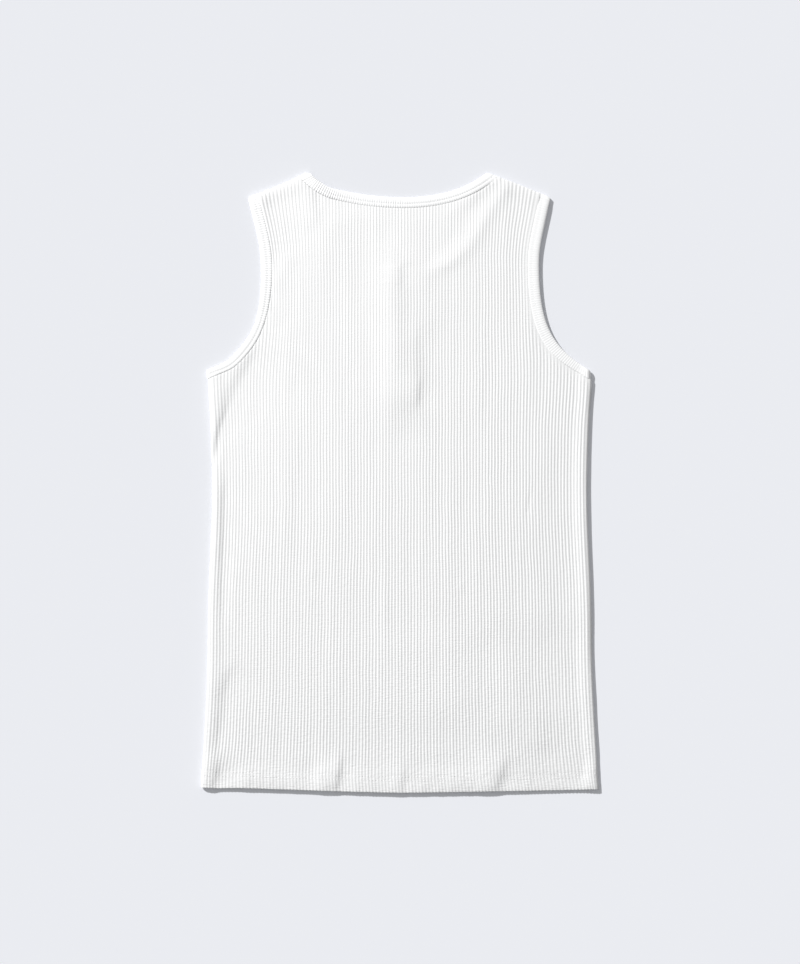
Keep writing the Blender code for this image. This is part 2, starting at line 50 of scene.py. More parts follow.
body = {
    "length": 663.8,              # hem to neck point
    "middle": 4.0,                # neck and placket sit this far to the right
    "ribs": 120,                  # across one panel
    "ribPitch": 3.4,
    "sections": [Section(*row) for row in (
        (0, 213, 213), (55, 209, 208), (120, 205.7, 205.2), (205, 204.4, 204.2),
        (310, 200.3, 199.9), (395, 202.2, 201.6), (440, 204.6, 204.6))],
    "hemBow": (7.0, 3.8),         # how far the hem's left and right ends stand up
    "hemBowPower": 1.3,
    "narrowShare": 80 / 120,      # the straps' narrowest half width, of the underarm's
    "strapColumn": 84,            # the rib line that grazes the armhole, of 120 to a side
    "crowd": (4.0, 1.5), "crowdFrom": 400.0,     # ribs crowd beside the armhole
    "leanPower": 4.0,             # ribs lean out to the shoulder tips
    "waist": 310.0, "flarePower": 5.0,   # above the waist only the outer ribs lean out
    "seamFrom": 385.0, "seamBlend": 90.0,
    "seamGap": 0.4, "seamRunOn": 12.0,
}
armhole = {
    "narrow": 562.0,              # height of the narrowest point
    "binding": 11.2,
    "bindingUnderarm": 8.2,
    "taperFrom": 0.55,
    "pinch": 2.3,                 # the left one narrows this much where it bows most
    "tip": (161.6, 635.8),
}
neck = {
    "binding": 10.9,
    "point": 96.2,
    "back": Ways(((4.0, 636.7), (44.7, 636.7), (72.5, 645.2), (96.2, 663.8)),
                 ((4.0, 636.7), (-28.0, 637.2), (-77.3, 640.9), (-96.2, 663.8))),
    "front": Ways(((4.0, 570.0), (45.0, 570.0), (99.0, 606.0), (96.2, 663.8)),
                  ((4.0, 570.0), (-37.0, 570.0), (-99.0, 606.0), (-96.2, 663.8))),
}
placket = {"width": 28.0, "bottom": 405.0, "strip": 1.0, "gap": 0.3,
           "fades": (20.0, 25.0, 18.0)}   # how the back sinks beside, below and above it


# outline and rib lines of the panels

def smoothStep(value):
    value = np.clip(value, 0.0, 1.0)
    return value * value * (3.0 - 2.0 * value)


def nearness(distance, reach):
    # 1 where there is no distance, and smoothly 0 from the reach on
    return smoothStep(1 - distance / reach)


def falling(distance, reach, power=1):
    # the same without the smooth start, or with a power
    return (1 - np.clip(distance / reach, 0, 1)) ** power


def sideWidth(side, height):
    keys = np.array([row.height for row in body["sections"]])
    values = np.array([getattr(row, side) for row in body["sections"]])
    aheadKeys, aheadValues = np.append(keys, keys[-1])[1:], np.append(values, values[-1])[1:]
    backKeys, backValues = np.append(keys[0], keys)[:-1], np.append(values[0], values)[:-1]
    slopes = (aheadValues - backValues) / (aheadKeys - backKeys)
    height = np.clip(height, keys[0], keys[-1])
    i = np.clip(np.searchsorted(keys, height, side="right") - 1, 0, len(keys) - 2)
    span = keys[i + 1] - keys[i]
    t = (height - keys[i]) / span
    rise = values[i + 1] - values[i]
    bend = slopes[i] * t * (1 - t) ** 2 - slopes[i + 1] * t * t * (1 - t)
    return values[i] + rise * t * t * (3 - 2 * t) + span * bend


def halfWidth(across, height):
    # the half width on the side that a point lies on
    return np.where(across < 0, sideWidth("left", height), sideWidth("right", height))


def bezier(curve, t):
    a, b, c, d = (np.array(p) for p in curve)
    t = np.atleast_1d(t)[:, None]
    s = 1 - t
    point = a * s ** 3 + b * 3 * s * s * t + c * 3 * s * t * t + d * t ** 3
    way = (b - a) * s * s + (c - b) * 2 * s * t + (d - c) * t * t
    return point, way / np.linalg.norm(way, axis=1)[:, None]


def beside(curve, t, inset, turn):
    point, way = bezier(curve, t)
    return point + np.column_stack([-way[:, 1], way[:, 0]]) * np.reshape(inset * turn, (-1, 1))


def evenShares(curve, step):
    # shares along a curve that stand a step apart
    dense = np.linspace(0, 1, 400)
    points = bezier(curve, dense)[0]
    run = np.append(0, np.cumsum(np.linalg.norm(np.diff(points, axis=0), axis=1)))
    count = max(2, round(run[-1] / step))
    return np.interp(np.linspace(0, run[-1], count + 1), run, dense)


def armInset(t, side):
    share = smoothStep((t - armhole["taperFrom"]) / (1 - armhole["taperFrom"]))
    pinch = armhole["pinch"] * (side < 0) * np.sin(np.pi * t ** 0.75) ** 2
    return armhole["binding"] + (armhole["bindingUnderarm"] - armhole["binding"]) * share - pinch


def seamLine(curve, inset, turn):
    # a seam beside a curve, run on a little past its end
    points = beside(curve, lineShares, inset, turn)
    ahead = points[-1] - points[-2]
    return np.vstack([points, points[-1] + ahead / np.linalg.norm(ahead) * body["seamRunOn"]])


lineShares = np.linspace(0, 1, 200)
underarmHalf = body["sections"][-1].right
ribColumns = body["ribs"]         # in half ribs, from the middle to a side
armNarrow = underarmHalf * body["narrowShare"] + armhole["binding"] + body["seamGap"]
armUpper = ((armNarrow, armhole["narrow"]), (armNarrow, 590.0), (156.6, 611.3), armhole["tip"])
armLower = ((armNarrow, armhole["narrow"]), (armNarrow, 496.0), (167.2, 473.2), (204.9, 450.5))
shoulderWay = np.array([armhole["tip"][0] - neck["point"], armhole["tip"][1] - body["length"]])
shoulderWay = shoulderWay / np.linalg.norm(shoulderWay)
seamUpper = seamLine(armUpper, armhole["binding"] + body["seamGap"], 1)
seamLower = Ways(*(seamLine(armLower, armInset(lineShares, side) + body["seamGap"], -1)
                   for side in (1, -1)))


def neckSeams(curves):
    inset = neck["binding"] + body["seamGap"]
    return Ways(seamLine(curves.right, inset, -1), seamLine(curves.left, inset, 1))


def heightOn(lines, across):
    # height of a right and a left line at each point across
    right = np.interp(across, np.maximum.accumulate(lines.right[:, 0]), lines.right[:, 1])
    left = np.interp(-across, np.maximum.accumulate(-lines.left[:, 0]), lines.left[:, 1])
    return np.where(across >= body["middle"], right, left)


def distanceTo(line, across, height):
    nearest = np.full(np.shape(across), 1e9)
    for start, end in zip(line[:-1], line[1:]):
        run = end - start
        t = ((across - start[0]) * run[0] + (height - start[1]) * run[1]) / max(run @ run, 1e-9)
        t = np.clip(t, 0, 1)
        away = np.hypot(across - start[0] - t * run[0], height - start[1] - t * run[1])
        nearest = np.minimum(nearest, away)
    return nearest


def shoulderHeight(across):
    slope = -shoulderWay[1] / shoulderWay[0]
    return body["length"] - slope * (np.abs(across) - neck["point"])


def hemHeight(across):
    bow = np.where(across < 0, *body["hemBow"])
    share = np.minimum(1, np.abs(across) / body["sections"][0].left)
    return bow * share ** body["hemBowPower"]


def columnAcross(column, height):
    # where a rib line runs, counted in half ribs from the middle; the last ones crowd at the edge
    width = halfWidth(column, height)
    toSide = np.clip((ribColumns - np.abs(column)) / 2, 0, 1)
    column = np.where(toSide < 1, np.copysign(ribColumns - 2 * toSide ** 1.6, column), column)
    waist = halfWidth(column, body["waist"])
    share = np.abs(column) / ribColumns
    flare = np.where(height > body["waist"], share ** body["flarePower"], share)
    across = share * waist + (width - waist) * flare
    strap = np.minimum(1, np.abs(column) / body["strapColumn"])
    toSeam = smoothStep((height - body["seamFrom"]) / body["seamBlend"]) * strap ** 4
    across = across + (share * underarmHalf - across) * toSeam
    crowd = underarmHalf * (body["strapColumn"] / ribColumns - body["narrowShare"])
    outside = np.clip((1 - share) / (1 - body["strapColumn"] / ribColumns), 0, 1)
    crowd = crowd * strap ** body["crowd"][0] * outside ** body["crowd"][1]
    rise = (height - body["crowdFrom"]) / (armhole["narrow"] - body["crowdFrom"])
    across = across - crowd * smoothStep(rise)
    lean = np.interp(height, seamUpper[:, 1], seamUpper[:, 0]) - seamUpper[0, 0]
    lean = np.where(height > armhole["narrow"], lean * strap ** body["leanPower"], 0)
    return np.copysign(across + lean, column)


def topHeight(column, seams):
    # where a rib line meets the neck, the shoulder or the armhole
    low = np.full(np.shape(column), seamLower.right[-1, 1])
    arm = np.full(np.shape(column), armhole["narrow"])
    for _ in range(30):
        middle = (low + arm) / 2
        seamAcross = np.where(column < 0, *(np.interp(middle, line[::-1, 1], line[::-1, 0])
                                            for line in (seamLower.left, seamLower.right)))
        past = np.abs(columnAcross(column, middle)) > seamAcross
        low, arm = np.where(past, low, middle), np.where(past, middle, arm)
    height = np.full(np.shape(column), armhole["tip"][1])
    reach = np.where(column > 0, seams.right[-1, 0], -seams.left[-1, 0])
    for _ in range(16):
        across = columnAcross(column, height)
        height = shoulderHeight(across)
        inNeck = np.abs(across) < reach
        height = np.where(inNeck, np.minimum(height, heightOn(seams, across)), height)
    return np.where(np.abs(column) > body["strapColumn"], arm, height)


backSeams = neckSeams(neck["back"])
frontSeams = neckSeams(neck["front"])
freeFront = Ways(*(bezier(curve, np.linspace(0, 1, 60))[0] for curve in neck["front"]))
frontLine = np.vstack([freeFront.left[::-1], freeFront.right])


# rows of points, from the hem up to the neck

panelRows = {
    "hem": (0.0, 0.3, 0.8, 1.7, 3.3, 5.6, 8.2, 10.8, 12.2, 13.4, 14.8, 16.2, 17.4, 18.8, 20.8,
            23.6, 27.0),
    "step": 5.2,
    "bodyTop": 430.0,
    "chest": 24,
    "yoke": 18,
    "edge": (3.2, 1.9, 1.0, 0.4, 0.0),    # last rows below a seam
}


def rowTable(rows):
    # each row's zone and its place in it
    low = list(rows["hem"])
    count = round((rows["bodyTop"] - low[-1]) / rows["step"])
    low += list(np.linspace(low[-1], rows["bodyTop"], count + 1)[1:])
    chest = list(np.linspace(0, 1, rows["chest"] + 1)[1:-1])
    yoke = list(np.linspace(0, 1, rows["yoke"] + 1)[1:-1])
    edge = list(rows["edge"])
    zones = ["low"] * len(low) + ["chest"] * len(chest) + ["chestEdge"] * len(edge)
    zones += ["yoke"] * len(yoke) + ["yokeEdge"] * len(edge)
    return np.array(zones), np.array(low + chest + edge + yoke + edge)


def rowHeight(column, row, seams, rows):
    zones, values = rowTable(rows)
    zone, value = zones[row], values[row]
    inStrap = np.abs(column) <= body["strapColumn"]
    top = topHeight(column, seams)
    end = np.where(inStrap, np.minimum(armhole["narrow"], top - 12), top)
    bow = hemHeight(columnAcross(column, np.zeros(len(column))))
    edge = rows["edge"][0]
    low = value + bow * (1 - value / rows["bodyTop"])
    chest = rows["bodyTop"] + (end - edge - rows["bodyTop"]) * value
    yoke = end + (top - edge - end) * value
    pick = [zone == "low", zone == "chest", zone == "chestEdge", zone == "yoke"]
    return np.select(pick, [low, chest, end - value, yoke], top - value)


# levels

levels = {
    "frontWall": 1.3, "hemWall": 1.45, "hemDepth": 17.0, "hemBlend": 34.0,
    "backInside": 1.6, "hemRise": 0.15,
    "neckSag": 1.1, "hollowStart": 11.0, "hollowRun": 24.0,
    "bindingSag": 1.4, "sagStart": 18.0, "sagRun": 40.0,
    "upperBinding": 1.75, "bindingWall": 1.9, "lowerArmWall": 1.45, "lowerNeckWall": 1.3,
    "far": 99.0,
}


def inHem(across, height):
    return nearness(height - hemHeight(across) - levels["hemDepth"], levels["hemBlend"])


def overPlacket(across, height):
    aside = np.abs(across - body["middle"]) - (placket["width"] / 2 + 2)
    below = placket["bottom"] - 4 - height
    above = height - (neck["front"].right[0][1] + 4)
    asideFade, lowFade, topFade = placket["fades"]
    return nearness(aside, asideFade) * nearness(below, lowFade) * nearness(above, topFade)


def overNeckHollow(across, height):
    inside = (np.abs(across) < neck["point"]) & (height > heightOn(freeFront, across))
    away = distanceTo(frontLine, across, height)
    return np.where(inside, smoothStep((away - levels["hollowStart"]) / levels["hollowRun"]), 0)


def backInside(across, height):
    placketRise = 2 * placket["strip"] + 2 * placket["gap"] - levels["backInside"]
    return (levels["backInside"] + levels["hemRise"] * inHem(across, height)
            + placketRise * overPlacket(across, height)
            - levels["neckSag"] * overNeckHollow(across, height))


def roll(distance, width, power=2.0):
    # a rounded edge, from 0 at the edge to 1 at the width
    return (1 - falling(distance, width) ** power) ** (1 / power)


Edges = namedtuple("Edges", "side shoulder hem arm neck")


def edgesAt(column, across, height, seams):
    # distances to each edge of a panel
    side = np.where(np.abs(column) > body["strapColumn"],
                    halfWidth(column, height) - np.abs(across), levels["far"])
    shoulder = (shoulderHeight(across) - height) * shoulderWay[0]
    lower = np.where(across < 0, distanceTo(seamLower.left, -across, height),
                     distanceTo(seamLower.right, across, height))
    arm = np.minimum(distanceTo(seamUpper, np.abs(across), height), lower)
    toNeck = np.minimum(distanceTo(seams.right, across, height),
                        distanceTo(seams.left, across, height))
    return Edges(np.maximum(side, 0), np.maximum(shoulder, 0), height - hemHeight(across), arm,
                 toNeck)


def drawnIn(across, height, edges, by, reach):
    # pulls points in from the side and shoulder edges
    side, shoulder = (by * falling(edge, reach) for edge in (edges.side, edges.shoulder))
    return across - np.copysign(side, across), height - shoulder / shoulderWay[0]


Crease = namedtuple("Crease", "x y toX toY bend width rise step", defaults=(0.0,))


def creaseRelief(creases, across, height):
    # soft troughs and ridges along bowed lines, and steps down to the line's left as it runs
    relief = np.zeros(np.shape(across))
    for c in creases:
        run = np.array([c.toX - c.x, c.toY - c.y])
        length = np.linalg.norm(run)
        way = run / length
        t = ((across - c.x) * way[0] + (height - c.y) * way[1]) / length
        off = -(across - c.x) * way[1] + (height - c.y) * way[0]
        inside = np.clip(t, 0, 1)
        off = off - c.bend * 4 * inside * (1 - inside)
        ends = smoothStep(t / 0.3) * smoothStep((1 - t) / 0.3)
        relief += c.rise * np.exp(-(off / c.width) ** 2) * ends
        if c.step:
            relief -= c.step / 2 * np.tanh(off / c.width) * np.exp(-(off / c.width / 5) ** 2) * ends
    return relief


# random fields: their steps across and along, and their seeds
noises = {
    "strayWide": (16, 26, 7), "strayFine": (7, 14, 8), "hem": (6, 12, 9),
    "waveLong": (14, 90, 3), "waveWide": (34, 60, 4), "ribLong": (3.4, 60, 5), "ribShort": (9, 14, 6),
    "bandRib": (30, 1, 11), "bandWave": (17, 1, 12),
}


def softNoise(across, height, name):
    # smooth random field, between -1 and 1
    stepAcross, stepHeight, seed = noises[name]
    lattice = np.random.default_rng(seed).uniform(-1, 1, (256, 256))
    x, y = across / stepAcross + 128, height / stepHeight + 8
    i, j = np.floor(x).astype(int) % 255, np.floor(y).astype(int) % 255
    u, v = smoothStep(x - np.floor(x)), smoothStep(y - np.floor(y))
    low = lattice[j, i] * (1 - u) + lattice[j, i + 1] * u
    high = lattice[j + 1, i] * (1 - u) + lattice[j + 1, i + 1] * u
    return low * (1 - v) + high * v


# small uneven pulls of the cloth: where, how wide and how far
Pull = namedtuple("Pull", "x y width right up")
pulls = [Pull(*row) for row in (
    (-152, 497, 52, 2.3, -1.6), (146, 545, 58, 1.7, 0),
    (-128, 652, 46, 0.4, -1.2), (0, 645, 62, 0, -0.9),
    (204, 62, 60, 1.1, 0), (97, 663, 24, -2, -1),
    (214, 8, 24, -0.8, 0), (206, 205, 32, -0.1, 0),
    (-205, 447, 13, -1, 1.2),
    (-75, 262, 38, 0.7, 0), (-75, 138, 38, -0.7, 0),
    (-203, 6, 24, 0, -1.5), (-74, 648, 13, 0, -1.6),
    (-181, 461, 16, 0, -2.8), (152, 602, 26, 0.8, 0),
)]


def pulled(across, height):
    moveX, moveY = np.zeros(np.shape(across)), np.zeros(np.shape(across))
    for p in pulls:
        share = np.exp(-((across - p.x) ** 2 + (height - p.y) ** 2) / p.width ** 2)
        moveX, moveY = moveX + p.right * share, moveY + p.up * share
    return across + moveX, height + moveY


# meshes

def toMesh(bm, name):
    bmesh.ops.recalc_face_normals(bm, faces=bm.faces[:])
    mesh = bpy.data.meshes.new(name)
    bm.to_mesh(mesh)
    bm.free()
    mesh.shade_smooth()
    obj = bpy.data.objects.new(name, mesh)
    bpy.context.scene.collection.objects.link(obj)
    return obj


def placed(across, height, level):
    across, height = pulled(across, height)
    return np.column_stack([across, height - body["length"] / 2, level]) * mm


def readPoints(mesh):
    flat = np.zeros(len(mesh.vertices) * 3)
    mesh.vertices.foreach_get("co", flat)
    return flat.reshape(-1, 3)


def writePoints(mesh, points, u, v):
    # moves the points to their places, and keeps two counts as the UV map
    mesh.vertices.foreach_set("co", points.ravel())
    corners = np.zeros(len(mesh.loops), int)
    mesh.loops.foreach_get("vertex_index", corners)
    layer = mesh.uv_layers.new(name="cloth")
    layer.data.foreach_set("uv", np.column_stack([u, v])[corners].ravel())
    mesh.update()


def sharpen(mesh, chosen):
    # edges between the chosen points shade as corners
    ends = np.zeros(len(mesh.edges) * 2, int)
    mesh.edges.foreach_get("vertices", ends)
    sharp = chosen[ends].reshape(-1, 2).all(axis=1)
    mesh.attributes.new("sharp_edge", "BOOLEAN", "EDGE").data.foreach_set("value", sharp)


def countedGrid(across, along):
    # a flat grid whose points stand at whole numbers, from 0
    bm = bmesh.new()
    size = Matrix.Diagonal((float(across), float(along), 1.0, 1.0))
    bmesh.ops.create_grid(bm, x_segments=across, y_segments=along, size=0.5,
                          matrix=Matrix.Translation((across / 2, along / 2, 0)) @ size)
    return bm


def thicken(bm):
    grown = bmesh.ops.extrude_face_region(bm, geom=bm.faces[:], use_keep_orig=True)["geom"]
    bmesh.ops.translate(bm, verts=[v for v in grown if isinstance(v, bmesh.types.BMVert)],
                        vec=(0, 0, 1))


def panelMesh(name, rows, cuts, bothSides=False, slot=None):
    # a slab of one face for each rib and row, its outer side cut finer across each rib
    zones, values = rowTable(rows)
    chestEnd = int(np.flatnonzero(zones == "chestEdge")[-1])
    bm = countedGrid(body["ribs"], len(zones) - 1)
    bmesh.ops.translate(bm, verts=bm.verts[:], vec=(-body["ribs"] / 2, 0, 0))
    bmesh.ops.scale(bm, verts=bm.verts[:], vec=(2, 1, 1))
    gone = [f for f in bm.faces if f.calc_center_median().y > chestEnd
            and abs(f.calc_center_median().x) > body["strapColumn"]]
    bmesh.ops.delete(bm, geom=gone, context="FACES")
    if slot:
        slotRow = int(np.argmin(np.abs(values - slot["foot"]) + 999 * (zones != "low")))
        for column in slot["columns"]:
            bmesh.ops.bisect_plane(bm, geom=bm.verts[:] + bm.edges[:] + bm.faces[:], dist=1e-4,
                                   plane_co=(column, 0, 0), plane_no=(1, 0, 0))
        inSlot = [f for f in bm.faces if f.calc_center_median().y > slotRow
                  and slot["columns"][0] < f.calc_center_median().x < slot["columns"][1]]
        bmesh.ops.delete(bm, geom=inSlot, context="FACES")
    rim = {e for e in bm.edges if e.is_boundary}
    thicken(bm)
    across = [e for e in bm.edges if abs(e.verts[0].co.y - e.verts[1].co.y) < 0.1
              and abs(e.verts[0].co.x - e.verts[1].co.x) > 0.1]
    finer = [e for e in across if bothSides or e.verts[0].co.z > 0.5 or e in rim]
    bmesh.ops.subdivide_edges(bm, edges=finer, cuts=cuts, use_grid_fill=True)
    return toMesh(bm, name)


def closeUp(mesh):
    # joins the points that meet and fills the ends that stay open
    bm = bmesh.new()
    bm.from_mesh(mesh)
    bmesh.ops.remove_doubles(bm, verts=bm.verts[:], dist=0.001 * mm)
    bmesh.ops.holes_fill(bm, edges=[e for e in bm.edges if e.is_boundary], sides=0)
    bmesh.ops.recalc_face_normals(bm, faces=bm.faces[:])
    bm.to_mesh(mesh)
    bm.free()
    mesh.shade_smooth()


# cloth and thread

knit = {
    "colour": (0.755, 0.755, 0.755), "bindingColour": (0.80, 0.80, 0.80),
    "threadColour": (0.82, 0.82, 0.82),
    "roughness": 0.92, "specular": 0.12,
    "courses": 3.6, "courseDepth": 0.05,      # rows of loops to a rib's width
    "markDepth": 0.10, "fuzzDepth": 0.05,
    "markShare": (0.95, -8.0), "markLeast": 1.2,   # more marks lower down
}


def newMaterial(name, colour, roughness, specular=0.5):
    material = bpy.data.materials.new(name)
    material.use_nodes = True
    shader = material.node_tree.nodes["Principled BSDF"]
    shader.inputs["Base Color"].default_value = (*colour, 1)
    shader.inputs["Roughness"].default_value = roughness
    shader.inputs["Specular IOR Level"].default_value = specular
    return material, shader


def clothMaterial(name, colour, turned=False):
    # white cotton with rows of loops, short marks along them and a little fuzz
    material, shader = newMaterial(name, colour, knit["roughness"], knit["specular"])
    nodes, links = material.node_tree.nodes, material.node_tree.links

    def add(kind, inputs, **settings):
        node = nodes.new("ShaderNode" + kind)
        for socket, value in inputs.items():
            node.inputs[socket].default_value = value
        for setting, value in settings.items():
            setattr(node, setting, value)
        return node

    def scaled(across, along):
        size = (along, across, 1) if turned else (across, along, 1)
        mapping = add("Mapping", {"Scale": size})
        links.new(counts.outputs["UV"], mapping.inputs["Vector"])
        return mapping.outputs["Vector"]

    def maths(operation, value, inputs):
        node = add("Math", inputs, operation=operation)
        links.new(value, node.inputs[0])
        return node

    counts = add("UVMap", {}, uv_map="cloth")
    loops = add("TexWave", {"Scale": 1.0, "Distortion": 1.4, "Detail Scale": 1.5},
                bands_direction="Y")
    links.new(scaled(1.0, knit["courses"] / 3.18), loops.inputs["Vector"])
    marks = add("TexNoise", {"Scale": 1.0, "Detail": 2.0})
    links.new(scaled(0.55, 2.2), marks.inputs["Vector"])
    apart = add("SeparateXYZ", {})
    links.new(add("TexCoord", {}).outputs["Object"], apart.inputs["Vector"])
    base, rise = knit["markShare"]
    share = maths("MULTIPLY_ADD", apart.outputs["Y"], {1: rise, 2: base})
    least = maths("MAXIMUM", share.outputs["Value"], {1: knit["markLeast"]})
    marked = maths("MULTIPLY", marks.outputs["Fac"], {})
    links.new(least.outputs["Value"], marked.inputs[1])
    fuzz = add("TexNoise", {"Scale": 9.0, "Detail": 2.0})
    links.new(scaled(1.0, 1.0), fuzz.inputs["Vector"])

    normal = None
    for height, depth in ((loops.outputs["Fac"], "courseDepth"),
                          (marked.outputs["Value"], "markDepth"),
                          (fuzz.outputs["Fac"], "fuzzDepth")):
        bump = add("Bump", {"Strength": 1.0, "Distance": knit[depth] * mm})
        links.new(height, bump.inputs["Height"])
        if normal:
            links.new(normal, bump.inputs["Normal"])
        normal = bump.outputs["Normal"]
    links.new(normal, shader.inputs["Normal"])
    return material


ribCloth = clothMaterial("ribKnit", knit["colour"])
bindingCloth = clothMaterial("bindingKnit", knit["bindingColour"], turned=True)
thread = newMaterial("whiteThread", knit["threadColour"], 0.7)[0]


# back panel

back = {
    "wall": 1.2,                  # one layer between the ribs
    "ribHeight": 0.51,
    "ribRound": 0.75,             # under 1 widens the crest and narrows the valley
    "ribUneven": 0.14,
    "ribDepths": (1.08, 0.0009, 0.0007, 0.75, 1.3),   # deeper to the right and towards the hem
    "hemFlat": 0.2, "hemEase": 0.2,   # the pressed hem's ribs lose these shares
    "hemTop": 17.0, "hemEaseTop": 24.0,
    "strapDepth": 0.9, "strapFrom": 545.0,    # and those beside the left armhole gain this one
    "edgeLevel": 1.75, "underLevel": 0.4, "edgeWall": 1.3, "edgeReach": 3.4, "edgeTurn": 0.8,
    "sideFall": 1.1, "sideFallReach": 3.3, "shoulderFall": (0.9, 0.4),
    # height, how far the right edge falls there and over what reach
    "rightDrop": ((0.0, 2.5, 2.7), (20.0, 2.6, 2.8), (42.0, 1.6, 2.3), (100.0, 1.5, 2.4),
                  (150.0, 2.5, 3.2), (205.0, 2.7, 3.0), (235.0, 2.1, 3.0), (270.0, 1.8, 3.0),
                  (310.0, 1.5, 2.6), (425.0, 1.7, 2.8), (440.0, 1.4, 2.3)),
    "hemFall": (0.06, 0.2), "hemFallReach": 4.0, "fallPower": 1.4, "turnPower": 2.2,
    "sideOut": (-0.7, 1.4), "hemOut": 0.9,
    "hemTurn": 0.5,
    "sideRidge": 0.5, "ridgeReach": 17.0, "ridgeFall": 9.0,
    "rightRidge": 0.35, "rightReach": 19.0, "rightFall": 14.0,
    "cornerEase": 0.6, "cornerAt": (185.0, 48.0), "cornerRuns": (20.0, 30.0),
    "leastWall": (0.55, 0.12), "leastFoot": 0.35,
    "hemWaves": 0.14,
    "neckDip": (0.06, 0.14), "armDip": (0.1, 0.0), "seamDipWidth": 1.6,
    "stitchGroove": 0.07,
    "armFade": 0.75, "armFadeReach": 9.0, "armRise": 0.25,   # beside the right armhole
    "hemLean": 2.2, "hemLeanAt": 189.0, "hemLeanReach": 22.0, "hemLeanTop": 62.0,
    "strayFrom": 12.0,            # ribs keep straight this near an edge
    "waveHeight": 0.12,
    "wander": 0.24,               # ribs stray sideways this far
    "hemShear": 1.1, "scallop": 0.25,
}
backCreases = [Crease(*row) for row in (
    (-148, 490, -201, 382, -3, 8, 0, 1.9),   # below the left underarm
    (-177, 428, -207, 330, -4, 4, 0, 1.3),
    (-190, 405, -198, 345, 0, 3.5, -0.7),
    (-188, 362, -190, 165, 2, 6, -0.85),   # beside the left seam
    (-187, 345, -188, 235, 0, 5, 0, 1),
    (-176, 145, -196, 40, 0, 6.5, -0.5, 0.7),
    (172, 420, 172, 60, 0, 15, -0.45),     # beside the right seam
    (190, 405, 190, 175, 0, 5, 0, -0.45),
    (187, 178, 186, 78, 0, 6.5, 0, -0.7),
    (-173, 142, -200, 92, 0, 6, 0, 0.6),
    (80, 190, 85, 60, 0, 22, 0, 1.3),
    (112, 170, 180, 0, 0, 17, 0, 1.7),   # low on the right
    (120, 48, 222, 43, 0, 7, 0, -1.1),
    (85, 76, 215, 74, 0, 18, 0, -1.4),
    (-147, 560, -138, 520, 0, 7, -0.5),    # beside the left armhole
    (-136, 530, -108, 585, 3, 9, 0.45),
    (-130, 500, -112, 430, 0, 12, 0.3),
    (-144, 665, -137, 545, 0, 8, 0, 1.7),
    (-94, 662, -84, 600, 0, 5, 0, 1.3),
    (-113, 430, -124, 215, 0, 10, 0.3),
    (-16.5, 275, -15, 155, 0, 3.5, 0.16),
    (-100, 243, -88, 228, 0, 4, 0.3),      # small marks
    (62, 224, 70, 216, 0, 3, 0.25),
    (141, 322, 136, 290, 0, 2.5, -0.3),
    (20, 510, 21.5, 398, 0, 7, 0, 1.1),    # right of the placket
    (24, 446, 20, 408, 0, 3.2, 0, 0.8),
    (0, 568, 3, 538, 0, 4, 0, 0.8),
    (1, 565, 3.5, 440, 0, 6, 0, 0.55),
    (17, 45, 65, 43, 0, 2.5, 0.2),
)]
hemCreases = [Crease(*row) for row in (
    (-191, 44, -203, -14, 0, 4, 0, 1.5),
    (-171, 36, -174, -14, 0, 6, 0, -0.6),
    (-88, 36, -91, -16, 0, 6, 0, -1.1),
    (-61, 44, -73, -20, 2, 3.2, 0, 1.7),
    (8, 34, 1, -16, 0, 3.2, 0, 0.6),
    (53, 34, 50, -10, 0, 6, 0, -0.4),
    (88, 34, 84, -14, 0, 6, 0, -0.5),
    (118, 44, 98, -20, 0, 4.6, 0, 1.6),
    (196, 38, 195, -14, 0, 4.5, 0, -1.1),
    (-190, 22, -56, 19, 0, 8, 0, 0.8),
    (-80, 20, 15, 20, 0, 8, 0, 0.45),
    (0, 22, 100, 22, 0, 8, 0, 0.9),
)]
coverstitch = {"heights": (12.7, 16.8), "length": 2.4, "pitch": 3.1, "width": 0.5,
               "rise": 0.2, "lean": 0.12}


def strayed(across, height, edges):
    # ribs wander a little, and the hem is turned slightly to one side
    free = smoothStep(np.minimum(edges.side, np.minimum(edges.arm, edges.neck)) / back["strayFrom"])
    free = free * smoothStep(edges.shoulder / back["strayFrom"])
    wander = softNoise(across, height, "strayWide") + 0.6 * softNoise(across, height, "strayFine")
    shear = nearness(edges.hem, coverstitch["heights"][1]) * back["hemShear"]
    lean = np.exp(-((np.abs(across) - back["hemLeanAt"]) / back["hemLeanReach"]) ** 2)
    lean = back["hemLean"] * lean * smoothStep((back["hemLeanTop"] - height) / 56)
    return across + free * (back["wander"] * wander + shear + np.copysign(lean, across))


# what prints through the back: the front's placket and its neck binding
prints = {
    "placket": ((-42, 0), (-34, 0.12), (-26, 0.42), (-18, 0.97), (-10, 1.78), (-7, 1.92),
                (-3, 1.86), (16, 1.38), (33, 0.62), (50, 0.34), (95, 0)),
    "placketTop": (615.0, 75.0), "placketFoot": (370.0, 62.0),
    "crest": ((-98, 655), (-91, 630), (-75, 590), (-51, 562), (-20, 550), (10, 546), (33, 553),
              (54, 566), (76, 585), (97, 621), (113, 646)),
    "placketShifts": (-3, -1.5, 0, 1.5, 3),     # the print is as soft as this
    "hollow": 0.75, "hollowRuns": (70.0, 21.0),
    "ridge": 0.55, "ridgeWidth": 8.0, "ridgeFoot": (545.0, 22.0),
    "swell": 0.9, "swellFrom": -122.0, "swellTo": -84.0, "swellEnd": -30.0,
    "swellTop": (652.0, 55.0), "swellFoot": (520.0, 75.0),
    "seamReach": 16.0,
}


def risingFrom(height, name):
    start, run = prints[name]
    return smoothStep((height - start) / run)


def upTo(height, name):
    top, run = prints[name]
    return smoothStep((top - height) / run)


